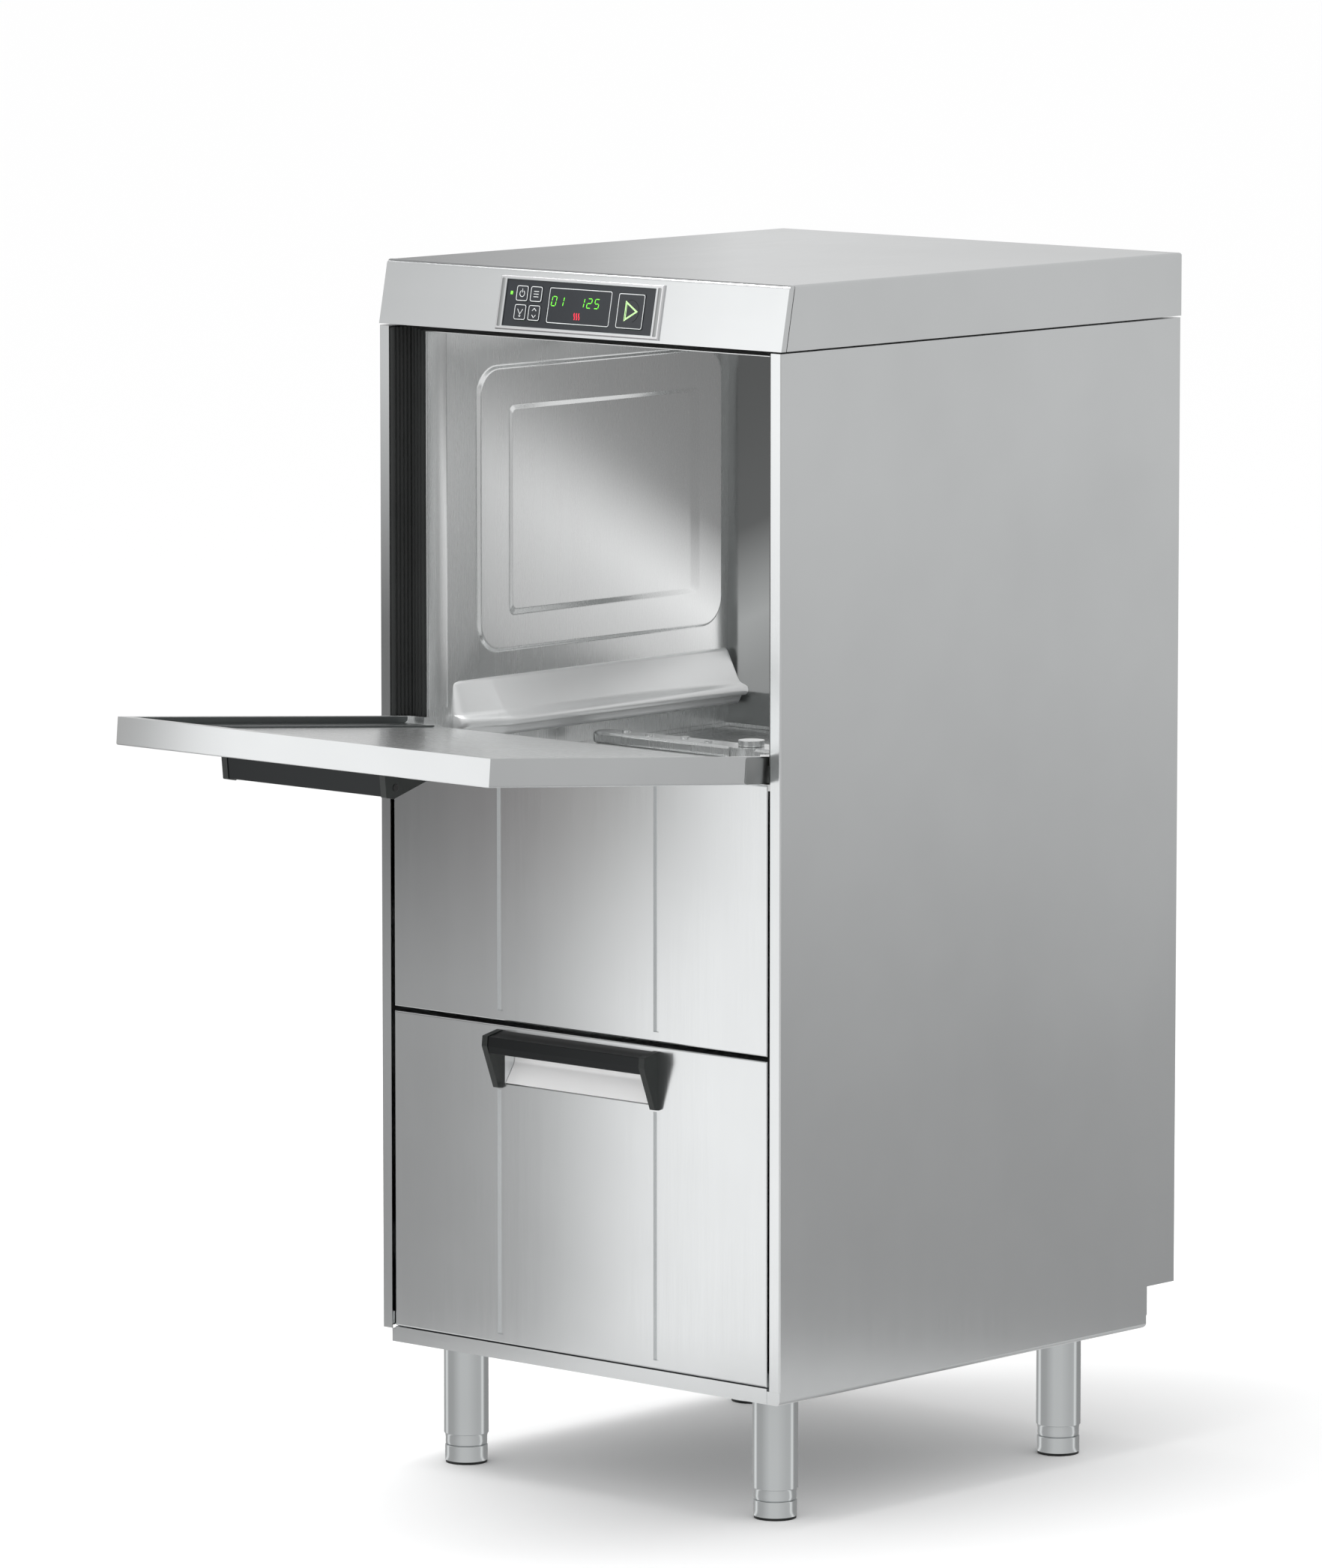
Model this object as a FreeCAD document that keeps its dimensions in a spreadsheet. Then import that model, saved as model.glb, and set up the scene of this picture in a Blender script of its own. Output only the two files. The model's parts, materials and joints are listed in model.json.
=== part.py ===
import FreeCAD, Part
import Sketcher
import math
import operator
import os

# Front-loading commercial glass washer, in millimetres.
# X runs across the front, Y from the front to the back and Z up from the floor.
# The drop-down door rests open, and the origin is the middle of the footprint,
# the open door included.

doc = FreeCAD.newDocument("glass_washer")
sheet = doc.addObject("Spreadsheet::Sheet", "Dims")

OPERATIONS = {
    "+": operator.add,
    "-": operator.sub,
    "*": operator.mul,
    "/": operator.truediv,
}


class Size:
    """A length or an angle: its number, and the formula of sheet cells that gives it."""

    def __init__(self, number, text):
        self.number = number
        self.text = text

    def __add__(self, other):
        return combined(self, "+", other)

    def __radd__(self, other):
        return combined(other, "+", self)

    def __sub__(self, other):
        return combined(self, "-", other)

    def __rsub__(self, other):
        return combined(other, "-", self)

    def __mul__(self, other):
        return combined(self, "*", other)

    def __rmul__(self, other):
        return combined(other, "*", self)

    def __truediv__(self, other):
        return combined(self, "/", other)

    def __neg__(self):
        return combined(0.0, "-", self)


def as_size(term):
    if isinstance(term, Size):
        return term
    return Size(float(term), f"({float(term)})")


def combined(left, sign, right):
    left = as_size(left)
    right = as_size(right)
    number = OPERATIONS[sign](left.number, right.number)
    return Size(number, f"({left.text} {sign} {right.text})")


def turned(name, angle):
    """sin, cos or tan of an angle in degrees."""
    number = getattr(math, name)(math.radians(angle.number))
    return Size(number, f"{name}({angle.text})")


def smaller(first, second):
    number = min(first.number, second.number)
    return Size(number, f"min({first.text}; {second.text})")


def cell(alias, number, meaning):
    """Writes one driving dimension on a row of its own and returns it as a Size."""
    cell.row += 1
    sheet.set(f"A{cell.row}", str(number))
    sheet.setAlias(f"A{cell.row}", alias)
    sheet.set(f"B{cell.row}", meaning)
    return Size(float(number), f"Dims.{alias}")


cell.row = 0

# ---- driving dimensions -------------------------------------------------------------------

width = cell("width", 600, "housing across the side panels")
depth = cell("depth", 686, "housing from the front plane to the back")
height = cell("height", 1370, "floor to the top of the lid")
leg_height = cell("leg_height", 142, "floor to the underside of the base")
metal = cell("metal", 1.2, "thickness of the housing's sheet")
fit_gap = cell("fit_gap", 0.3, "clearance round a piece that sits in a cut-out")
seam = cell("seam", 2, "gap between the side panels and the lid")
door_gap = cell("door_gap", 4.5, "gap between a flange and the door or a front panel")
flange = cell("flange", 15, "width of a side panel's front and rear flanges")
return_depth = cell("return_depth", 16, "depth of a folded return behind a front piece")
base_rise = cell("base_rise", 15, "underside of the base to the side panels")
corner_deep = cell("corner_deep", 24, "depth of the notch in the base's left front corner")
base_wall = cell("base_wall", 30, "height of the base tray's walls")
notch_deep = cell("notch_deep", 50, "depth of the services notch at the lower back")
notch_high = cell("notch_high", 33, "height of the services notch")

lid_height = cell("lid_height", 71.4, "height of the lid and of the fascia")
fascia_lean = cell("fascia_lean", 11.25, "angle by which the fascia leans back")
fascia_depth = cell("fascia_depth", 8, "depth of the fascia at its ends")
fascia_round = cell("fascia_round", 6, "radius of the fascia's top edge")

panel_inset = cell("panel_inset", 0.5, "front panels and closed door behind the front plane")
split_height = cell("split_height", 527, "floor to the foot of the service panel")
split_gap = cell("split_gap", 5, "gap between the drawer front and the service panel")
lip_height = cell("lip_height", 17.5, "height of the base's front lip")
run_gap = cell("run_gap", 1, "gap under the drawer front, and beside a sliding piece")
groove_out = cell("groove_out", 117.5, "middle plane to a groove's centre")
groove_wide = cell("groove_wide", 8, "width of a pressed groove")
groove_deep = cell("groove_deep", 3, "depth of a pressed groove")
groove_margin = cell("groove_margin", 11, "end of a groove to the panel's edge")

door_side_gap = cell("door_side_gap", 7, "gap between a flange and the side of the door")
door_thick = cell("door_thick", 31, "thickness of the door")
door_top_gap = cell("door_top_gap", 3.6, "closed door's top edge to the fascia")
door_foot_gap = cell("door_foot_gap", 2, "closed door's bottom edge to the service panel")
door_below = cell("door_below", 12, "hinge axis to the door's bottom edge")
tongue_below = cell("tongue_below", 30, "hinge axis to the lower edge of the liner's tongue")
tongue_gap = cell("tongue_gap", 4, "chamber wall to the side of the liner's tongue")
hinge_deep = cell("hinge_deep", 14.4, "door's outer face to the hinge axis")
hinge_height = cell("hinge_height", 839.5, "floor to the hinge axis")
door_rise = cell("door_rise", 5, "angle of the open door above level")
dish_deep = cell("dish_deep", 8, "depth of the liner's step below its rim")
plate_deep = cell("plate_deep", 2.5, "depth of the liner's flat plate below the step")
side_rim = cell("side_rim", 6, "width of the liner's rim at the sides")
front_rim = cell("front_rim", 18, "width of the liner's rim at the free edge")
step_wide = cell("step_wide", 29, "width of the liner's step")
pin_radius = cell("pin_radius", 4, "radius of a hinge pin")
pin_play = cell("pin_play", 0.05, "radial clearance of a shaft in its bore")

cap_out = cell("cap_out", 118, "middle plane to a handle end cap's centre")
cap_wide = cell("cap_wide", 8, "thickness of a handle end cap")
cap_high = cell("cap_high", 66, "height of a handle end cap")
cap_proud = cell("cap_proud", 25.2, "how far a handle stands out")
handle_drop = cell("handle_drop", 5, "edge of the panel to the top of the handle")
pocket_deep = cell("pocket_deep", 16, "depth of the finger pocket")

chamber_side_gap = cell("chamber_side_gap", 38, "outside of the housing to a chamber wall")
seal_gap = cell("seal_gap", 0.5, "closed door to the gasket")
chamber_back_gap = cell("chamber_back_gap", 139, "back of the housing to the chamber's back wall")
rim_drop = cell("rim_drop", 37.5, "hinge axis down to the rim of the wash tank")
ceiling_drop = cell("ceiling_drop", 5, "top of the side panels to the chamber's ceiling")
opening_drop = cell("opening_drop", 2.5, "ceiling to the top of the loading opening")
gasket_thick = cell("gasket_thick", 4, "thickness of the door gasket")
gasket_wide = cell("gasket_wide", 20, "width of the door gasket")
gasket_top = cell("gasket_top", 5, "height of the gasket over the opening")
gasket_rise = cell("gasket_rise", 14, "hinge axis up to the foot of the gasket, past the door's sweep")
press_in = cell("press_in", 4, "how far the pressing in a side wall stands into the chamber")
press_from_front = cell("press_from_front", 80, "front of a chamber side wall to its pressing")
press_from_back = cell("press_from_back", 13, "back of a chamber side wall to its pressing")
press_rise = cell("press_rise", 116, "tank's rim to the foot of the pressing")
press_drop = cell("press_drop", 48.1, "chamber's ceiling to the top of the pressing")
press_round = cell("press_round", 35, "corner radius of the pressing")
frame_thick = cell("frame_thick", 2, "thickness of the door frame")
tank_deep = cell("tank_deep", 190, "depth of the wash tank")
tank_front = cell("tank_front", 20, "front plane to the wash tank")
rail_rise = cell("rail_rise", 88, "tank's rim to the top edge of a rack rail")
rail_out = cell("rail_out", 40, "how far a rack rail stands into the chamber")
rail_high = cell("rail_high", 66, "height of a rack rail")
rail_from_front = cell("rail_from_front", 43, "door frame to the front end of a rack rail")
rail_from_back = cell("rail_from_back", 7, "chamber's back wall to a rack rail")
lip_thick = cell("lip_thick", 7, "height of a rack rail's lip")
slope_drop = cell("slope_drop", 40, "drop of a rack rail's slope")

arm_gap = cell("arm_gap", 20, "chamber wall to the tip of a wash arm")
arm_wide = cell("arm_wide", 34, "width of a wash arm")
arm_thick = cell("arm_thick", 14, "thickness of a wash arm")
shaft_radius = cell("shaft_radius", 8, "radius of a wash arm's shaft")

leg_inset = cell("leg_inset", 66, "outside of the housing to a leg's axis")
leg_front = cell("leg_front", 68, "front plane to the front legs' axes")
leg_back_gap = cell("leg_back_gap", 128, "back of the housing to the back legs' axes")
leg_radius = cell("leg_radius", 25.4, "radius of a leg tube")
leg_foot = cell("leg_foot", 22, "floor to the lower end of a leg tube")
foot_radius = cell("foot_radius", 24.2, "radius of an adjustable foot")
stem_radius = cell("stem_radius", 6, "radius of a foot's threaded stem")
pad_thick = cell("pad_thick", 3, "thickness of a foot's rubber pad")

inlet_radius = cell("inlet_radius", 13.22, "radius of the water inlet's threaded spigot")
drain_radius = cell("drain_radius", 11, "radius of the drain spigot")
gland_radius = cell("gland_radius", 12.5, "radius of the cable gland's thread")
spigot_long = cell("spigot_long", 28, "length of a spigot behind its collar")
collar_thick = cell("collar_thick", 6, "thickness of a spigot's collar")
tray_side_gap = cell("tray_side_gap", 62, "outside of the housing to the drawer tray")
tray_back_gap = cell("tray_back_gap", 246, "how much shorter than the housing the tray is")
tray_foot = cell("tray_foot", 180, "floor to the underside of the drawer tray")
tray_high = cell("tray_high", 120, "height of the drawer tray's walls")
runner_height = cell("runner_height", 240, "floor to the middle of a drawer runner")
runner_thick = cell("runner_thick", 6, "thickness of a runner member")

bezel_half = cell("bezel_half", 121.5, "half the width of the control bezel")
bezel_high = cell("bezel_high", 61, "height of the control bezel")
bezel_mid = cell("bezel_mid", 33.5, "foot of the fascia to the bezel's centre line")
bezel_proud = cell("bezel_proud", 3, "how far the bezel stands out of the fascia")
glass_half = cell("glass_half", 111, "half the width of the bezel's opening")
glass_high = cell("glass_high", 53, "height of the bezel's opening")
glass_thick = cell("glass_thick", 1.8, "thickness of the control glass")
key_wide = cell("key_wide", 18, "width of a small key")
start_wide = cell("start_wide", 39.5, "width of the start key")
key_proud = cell("key_proud", 0.8, "how far a key stands out of the glass")
key_travel = cell("key_travel", 1, "stroke of a key")

# ---- places worked out from the driving dimensions ----------------------------------------

half = width / 2
chamber_front = panel_inset + door_thick + seal_gap + gasket_thick
panel_half = half - flange - door_gap
door_half = half - flange - door_side_gap
chamber_half = half - chamber_side_gap
tongue_half = chamber_half - tongue_gap
tray_half = half - tray_side_gap
leg_out = half - leg_inset
chamber_back = depth - chamber_back_gap
leg_back = depth - leg_back_gap
tray_deep = depth - tray_back_gap
arm_reach = smaller(chamber_half, (chamber_back - chamber_front) / 2) - arm_gap
lid_foot = height - lid_height
panel_top = lid_foot - seam
chamber_top = panel_top - ceiling_drop
opening_top = chamber_top - opening_drop
chamber_floor = hinge_height - rim_drop
rail_top = chamber_floor + rail_rise
door_above = lid_foot - door_top_gap - hinge_height
service_top = hinge_height - door_below - door_foot_gap
door_reach = door_above * turned("cos", door_rise) + hinge_deep * turned("sin", door_rise)
front = (door_reach - hinge_deep - panel_inset - depth) / 2
back = front + depth
hinge_y = front + panel_inset + hinge_deep
skirt_foot = leg_height + base_rise
lean_shift = lid_height * turned("tan", fascia_lean)
drawer_foot = leg_height + lip_height + run_gap
drawer_start = front + panel_inset + return_depth + 2
frame_foot = chamber_floor + fit_gap
frame_face = front + chamber_front
wall_start = frame_face + frame_thick + fit_gap
drawer_top = split_height - split_gap
base_back = back - notch_deep
arm_y = front + (chamber_front + chamber_back) / 2
tank_floor = chamber_floor - tank_deep
board_face = fascia_depth + lean_shift + 4
service_height = leg_height + 26
filter_level = chamber_floor - 6
lower_arm = chamber_floor + 3
upper_arm = chamber_top - 22
machine_y = base_back - 96
machine_floor = leg_height + 2
door_face = -hinge_deep
door_back = door_thick - hinge_deep
door_handle_top = door_above - handle_drop
liner_floor = door_back - dish_deep - plate_deep - metal

nodes = []


class Piece:
    """One sub-part, as a PartDesign body whose Label is the name of its node."""

    def __init__(self, name, node=True):
        self.body = doc.addObject("PartDesign::Body", name)
        self.body.Label = name
        if node:
            nodes.append(self.body)

    def feature(self, kind):
        return self.body.newObject("PartDesign::" + kind, kind)

    def box(self, x, y, z, cut=False):
        """Adds, or cuts, the block between three pairs of planes."""
        block = self.feature("SubtractiveBox" if cut else "AdditiveBox")
        spans = (x, y, z)
        for side, (low, high) in zip(("Length", "Width", "Height"), spans):
            block.setExpression(side, as_size(as_size(high) - low).text)
        for axis, (low, high) in zip("xyz", spans):
            block.setExpression("Placement.Base." + axis, as_size(low).text)

    def rod(self, axis, radius, at, span, cut=False, tip=None):
        """Adds, or cuts, a cylinder along an axis, or a cone where tip gives its far radius."""
        shape = "Cylinder" if tip is None else "Cone"
        rod = self.feature(("Subtractive" if cut else "Additive") + shape)
        radii = {"Radius": radius} if tip is None else {"Radius1": radius, "Radius2": tip}
        for side, size in radii.items():
            rod.setExpression(side, as_size(size).text)
        rod.setExpression("Height", as_size(as_size(span[1]) - span[0]).text)
        direction = {"X": (1, 0, 0), "Y": (0, 1, 0), "Z": (0, 0, 1)}[axis]
        turn = FreeCAD.Rotation(FreeCAD.Vector(0, 0, 1), FreeCAD.Vector(*direction))
        rod.Placement = FreeCAD.Placement(FreeCAD.Vector(), turn)
        places = list(at)
        places.insert("XYZ".index(axis), span[0])
        for letter, place in zip("xyz", places):
            rod.setExpression("Placement.Base." + letter, as_size(place).text)

    def prism(self, plane, corners, span, cut=False):
        """Adds, or cuts, the outline through the corners, between two planes."""
        sketch = self.body.newObject("Sketcher::SketchObject", "Outline")
        origin = self.body.Origin.OriginFeatures
        sketch.AttachmentSupport = [(next(o for o in origin if o.Role == plane + "_Plane"), "")]
        sketch.MapMode = "FlatFace"
        facing = -1 if plane == "XZ" else 1
        start = span[0] if (facing == 1) != cut else span[1]
        sketch.setExpression("AttachmentOffset.Base.z", (as_size(start) * facing).text)
        points = [FreeCAD.Vector(as_size(a).number, as_size(b).number, 0) for a, b in corners]
        points.append(points[0])
        for start_point, end_point in zip(points, points[1:]):
            sketch.addGeometry(Part.LineSegment(start_point, end_point))
        for index in range(len(corners)):
            tie = Sketcher.Constraint("Coincident", index - 1 if index else len(corners) - 1, 2, index, 1)
            sketch.addConstraint(tie)
        for index, corner in enumerate(corners):
            for letter, place in zip("XY", corner):
                place = as_size(place)
                number = sketch.addConstraint(
                    Sketcher.Constraint("Distance" + letter, -1, 1, index, 1, place.number)
                )
                sketch.setExpression(f"Constraints[{number}]", place.text)
        pad = self.feature("Pocket" if cut else "Pad")
        pad.Profile = sketch
        pad.setExpression("Length", as_size(as_size(span[1]) - span[0]).text)

    def round(self, radius, pick):
        """Rounds the edges that pick(middle, direction) accepts."""
        doc.recompute()
        base = self.body.Tip
        names = []
        for number, edge in enumerate(base.Shape.Edges, 1):
            low, high = edge.ParameterRange
            middle = edge.valueAt((low + high) / 2)
            if pick(middle, edge_direction(edge)):
                names.append(f"Edge{number}")
        fillet = self.feature("Fillet")
        fillet.Base = (base, names)
        fillet.setExpression("Radius", as_size(radius).text)
        base.Visibility = False

    def lay(self, base, axis, angle):
        """Turns the body about X through its own origin and sets that origin at a place."""
        turn = FreeCAD.Rotation(FreeCAD.Vector(axis, 0, 0), as_size(angle).number)
        self.body.Placement = FreeCAD.Placement(FreeCAD.Vector(), turn)
        self.body.setExpression("Placement.Rotation.Angle", as_size(angle).text)
        for letter, place in zip("yz", base):
            self.body.setExpression("Placement.Base." + letter, as_size(place).text)


def edge_direction(edge):
    """X, Y or Z for a straight edge along an axis, round for an arc, and otherwise nothing."""
    if edge.Curve.TypeId != "Part::GeomLine":
        return "round"
    run = edge.Curve.Direction
    for letter, part in zip("XYZ", (run.x, run.y, run.z)):
        if abs(part) > 0.999:
            return letter
    return ""


def group(name, pieces):
    """One node that holds several separate solids."""
    together = doc.addObject("Part::Compound", name)
    together.Label = name
    together.Links = [piece.body for piece in pieces]
    nodes.append(together)


def span(middle, full):
    return (middle - full / 2, middle + full / 2)


def both(half_width):
    return (-half_width, as_size(half_width))


def sided(side, inner, outer):
    """The X span between two distances from the middle plane, on the left (-1) or right (1)."""
    return (-outer, -inner) if side < 0 else (as_size(inner), as_size(outer))


# ---- housing ------------------------------------------------------------------------------

def side_panel(name, side):
    """Folded sheet with a flange at the front, the back and the top, and the services notch."""
    panel = Piece(name)
    edge = 2.5
    panel.box(sided(side, half - flange, half), (front, back), (skirt_foot, panel_top))
    panel.round(edge, lambda at, run: run == "Z" and abs(at.x) > half.number - 1)
    inner = sided(side, half - flange - 1, half - metal)
    panel.box(inner, (front + metal, back - metal), (skirt_foot - 1, panel_top - metal), cut=True)
    across = sided(side, half - flange - 1, half + 1)
    panel.box(across, (back - notch_deep, back + 1), (skirt_foot - 1, skirt_foot + notch_high), cut=True)


def back_panel():
    """Flat cover between the rear flanges, with a row of vents."""
    panel = Piece("back_panel")
    foot = skirt_foot + notch_high
    panel.box(both(half - flange - run_gap), (back - 2 * metal, back - metal), (foot, panel_top - metal))
    vents = 6
    pitch = 16
    vent_high = 6
    for row in range(vents):
        low = foot + 60 + pitch * row
        panel.box(both(110), (back - 3 * metal, back), (low, low + vent_high), cut=True)


def lid():
    """Top cover: a shell open below and in front, whose front edge leans with the fascia."""
    cover = Piece("lid")
    start = front + fascia_depth + run_gap
    lean = [
        (start, lid_foot),
        (start + lean_shift, height),
        (back, height),
        (back, lid_foot),
    ]
    cover.prism("YZ", lean, both(half))
    behind = front.number + 40
    cover.round(3, lambda at, run: at.z > height.number - 1 and run in ("Y", "X") and at.y > behind)
    inside = start - metal
    hollow = [
        (inside, lid_foot - 1),
        (inside + (lid_height - metal) * turned("tan", fascia_lean), height - metal),
        (back - metal, height - metal),
        (back - metal, lid_foot - 1),
    ]
    cover.prism("YZ", hollow, both(half - metal), cut=True)


def front_fascia():
    """Leaning sheet over the door, open behind, with the window for the controls."""
    fascia = Piece("front_fascia")
    outline = [
        (front, lid_foot),
        (front + lean_shift, height),
        (front + lean_shift + fascia_depth, height),
        (front + fascia_depth, lid_foot),
    ]
    fascia.prism("YZ", outline, both(half))
    brow = (front + lean_shift).number + 1
    fascia.round(fascia_round, lambda at, run: run == "X" and at.z > height.number - 1 and at.y < brow)
    slope = turned("tan", fascia_lean)
    hollow = [
        (front + metal * slope + metal, lid_foot + metal),
        (front + lean_shift - metal * slope + metal, height - metal),
        (front + lean_shift + fascia_depth + 1, height - metal),
        (front + fascia_depth + 1, lid_foot + metal),
    ]
    fascia.prism("YZ", hollow, both(half - metal), cut=True)
    window_low = lid_foot + bezel_mid - glass_high / 2 + 4
    window_high = lid_foot + bezel_mid + glass_high / 2 - 4
    through = (front - 1, front + fascia_depth + lean_shift)
    fascia.box(both(glass_half - 4), through, (window_low, window_high), cut=True)


# ---- controls, laid on the leaning fascia ---------------------------------------------------

def on_fascia(piece):
    """Sets a piece made with its origin at the fascia's foot, its front at Y = 0."""
    piece.lay((front, lid_foot), -1, fascia_lean)
    return piece


def control_bezel():
    bezel = on_fascia(Piece("control_bezel"))
    bezel.box(both(bezel_half), (-bezel_proud, 0), span(bezel_mid, bezel_high))
    bezel.round(2, lambda at, run: at.y < 1 - bezel_proud.number and run in ("X", "Z"))
    bezel.box(both(glass_half), (-bezel_proud - 1, 1), span(bezel_mid, glass_high), cut=True)


KEYS = {
    "key_power": (-95.5, key_wide, 2.0, key_wide),
    "key_program": (-74.5, key_wide, 2.0, key_wide),
    "key_drain": (-95.5, key_wide, -19.0, key_wide),
    "key_level": (-74.5, key_wide, -19.0, key_wide),
    "key_start": (57.0, start_wide, -20.5, start_wide),
}
DISPLAY = (-47.0, 93.5, -20.0, 40.0)


def place_of(rectangle, gap=0.0):
    """X and Z spans of a key or the display, grown by a gap."""
    left, wide, low, high = rectangle
    foot = bezel_mid + low
    return (as_size(left) - gap, left + as_size(wide) + gap), (foot - gap, foot + high + gap)


def control_glass():
    """Dark glass in the bezel, cut out for the keys and the display."""
    glass = on_fascia(Piece("control_glass"))
    glass.box(both(glass_half - fit_gap), (-glass_thick, 0), span(bezel_mid, glass_high - 2 * fit_gap))
    for rectangle in (*KEYS.values(), DISPLAY):
        x, z = place_of(rectangle, fit_gap)
        glass.box(x, (-glass_thick - 1, 1), z, cut=True)
    glass.round(2, lambda at, run: run == "Y" and abs(at.x) < glass_half.number - 2 and not -50 < at.x < 50)


def display_window():
    window = on_fascia(Piece("display_window"))
    x, z = place_of(DISPLAY)
    window.box(x, (-glass_thick + fit_gap, 0), z)


def control_key(name):
    """Square cap with a stem that reaches back to its switch."""
    key = on_fascia(Piece(name))
    x, z = place_of(KEYS[name])
    key.box(x, (-glass_thick - key_proud, 0), z)
    key.round(2, lambda at, run: run == "Y")
    key.round(0.4, lambda at, run: at.y < -glass_thick.number - key_proud.number + 0.1)
    left, wide, low, high = KEYS[name]
    middle = left + as_size(wide) / 2
    level = bezel_mid + low + as_size(high) / 2
    key.rod("Y", 3, (middle, level), (0, board_face - key_travel - fit_gap))


def control_board():
    """Circuit board behind the keys, with its transformer and relays."""
    board = on_fascia(Piece("control_board"))
    board.box(both(glass_half), (board_face, board_face + 1.6), span(bezel_mid, glass_high - 4))
    for left in (-90, -30, 45):
        board.box((left, left + 34), (board_face + 1, board_face + 20), span(bezel_mid, 26))


# ---- base, legs and feet ------------------------------------------------------------------

def base_tray():
    """Folded tray under the housing, with a front lip and a rear wall for the services."""
    tray = Piece("base_tray")
    sheet_thick = 2
    tray.box(both(half - run_gap), (front + run_gap, base_back), (leg_height, skirt_foot - fit_gap))
    low_edge = leg_height.number + 1
    behind = front.number + 10
    tray.round(5, lambda at, run: run in ("X", "Y") and at.z < low_edge and at.y > behind)
    wall = half - metal - run_gap
    start = drawer_start + run_gap
    tray.box(both(wall), (start, base_back), (leg_height + 6, leg_height + base_wall))
    inside = (both(wall - sheet_thick), (start + sheet_thick, base_back - sheet_thick))
    tray.box(*inside, (leg_height + sheet_thick, leg_height + base_wall + 1), cut=True)
    tray.box(both(panel_half), (front + panel_inset, front + 12), (leg_height + 1, leg_height + lip_height))
    rear = (base_back - sheet_thick, base_back)
    tray.box(both(half - flange - run_gap), rear, (leg_height + 6, skirt_foot + notch_high))
    corner = (-half - 1, flange - half - 1)
    tray.box(corner, (front - 1, front + corner_deep), (leg_height - 1, skirt_foot + 1), cut=True)
    for x, radius in SERVICES.values():
        tray.rod("Y", radius + fit_gap, (x, service_height), (base_back - 5, base_back + 1), cut=True)


SERVICES = {
    "water_inlet": (-180, inlet_radius),
    "drain_outlet": (-80, drain_radius),
    "cable_gland": (180, gland_radius),
}


def service_fitting(name):
    """Spigot through the rear wall of the base, with a collar outside and a nut inside."""
    fitting = Piece(name)
    x, radius = SERVICES[name]
    at = (x, service_height)
    fitting.rod("Y", radius + 5, at, (base_back, base_back + collar_thick))
    inner_end = base_back - 14
    fitting.rod("Y", radius, at, (inner_end, base_back + collar_thick + spigot_long))
    bore = radius - 3.5
    fitting.rod("Y", bore, at, (inner_end - 1, base_back + collar_thick + spigot_long + 1), cut=True)


LEGS = {
    "front_left": (-1, leg_front),
    "front_right": (1, leg_front),
    "back_left": (-1, leg_back),
    "back_right": (1, leg_back),
}


def leg(corner):
    """Tube under the base, necked at its lower end, with a threaded plug inside."""
    side, along = LEGS[corner]
    at = (leg_out * side, front + along)
    tube = Piece("leg_" + corner)
    tube.rod("Z", leg_radius, at, (leg_foot, leg_height))
    tube.round(3, lambda mid, run: run == "round" and mid.z < leg_foot.number + 1)
    tube.rod("Z", leg_radius - metal, at, (leg_foot + 8, leg_height - 2), cut=True)
    tube.rod("Z", stem_radius + pin_play, at, (leg_foot - 1, leg_foot + 9), cut=True)


def foot(corner):
    """Adjustable foot: a round body, a neck and the stem that screws into the leg."""
    side, along = LEGS[corner]
    at = (leg_out * side, front + along)
    body = Piece("foot_" + corner)
    top = leg_foot - run_gap
    body.rod("Z", foot_radius, at, (pad_thick, top))
    body.round(1.5, lambda mid, run: run == "round" and mid.z > top.number - 0.1)
    body.rod("Z", stem_radius, at, (top - 1, leg_height - 20))
    pad = Piece("foot_pad_" + corner)
    pad.rod("Z", foot_radius - 0.6, at, (0, pad_thick))


# ---- front panels -------------------------------------------------------------------------

def grooved_shell(panel, x_half, y, z, groove_z):
    """Front sheet with returns all round and two pressed grooves."""
    panel.box(both(x_half), y, z)
    panel.round(2, lambda at, run: at.y < y[0].number + 0.1 and run in ("X", "Z"))
    inner_z = (z[0] + metal, z[1] - metal)
    panel.box(both(x_half - metal), (y[0] + metal, y[1] + 1), inner_z, cut=True)
    for side in (-1, 1):
        behind = groove_wide + 2 * metal
        x = span(groove_out * side, behind)
        panel.box(x, (y[0] + metal - 0.1, y[0] + groove_deep + metal), (groove_z[0] - metal, groove_z[1]))
        panel.box(span(groove_out * side, groove_wide), (y[0] - 1, y[0] + groove_deep), groove_z, cut=True)


def finger_pocket(panel, face, top, wall):
    """Pocket behind and under a handle: shallow at its foot and deep behind the grip."""
    low = top - cap_high + 4.7
    high = top - 7
    deep = pocket_deep
    back_of = [
        (face + wall / 2, low - wall),
        (face + deep + wall, high - 30),
        (face + deep + wall, high + wall),
        (face + wall / 2, high + wall),
    ]
    panel.prism("YZ", back_of, both(cap_out - groove_wide + wall))
    hollow = [
        (face - 1, low),
        (face, low),
        (face + deep, high - 32),
        (face + deep, high),
        (face - 1, high),
    ]
    panel.prism("YZ", hollow, both(cap_out - groove_wide), cut=True)


def service_panel():
    panel = Piece("service_panel")
    z = (split_height, service_top)
    y = (front + panel_inset, front + return_depth)
    grooved_shell(panel, panel_half, y, z, (z[0] + groove_margin, z[1] - groove_margin))
    sweep = (z[1] - 6, z[1] + 1)
    panel.box(both(panel_half + 1), (y[0] + metal, y[1] + 1), sweep, cut=True)


def drawer_front():
    panel = Piece("drawer_front")
    face = front + panel_inset
    handle_top = drawer_top - handle_drop
    groove_z = (drawer_foot + groove_margin - 1, handle_top - cap_high - 2)
    grooved_shell(panel, panel_half, (face, drawer_start), (drawer_foot, drawer_top), groove_z)
    finger_pocket(panel, face, handle_top, metal)


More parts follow.
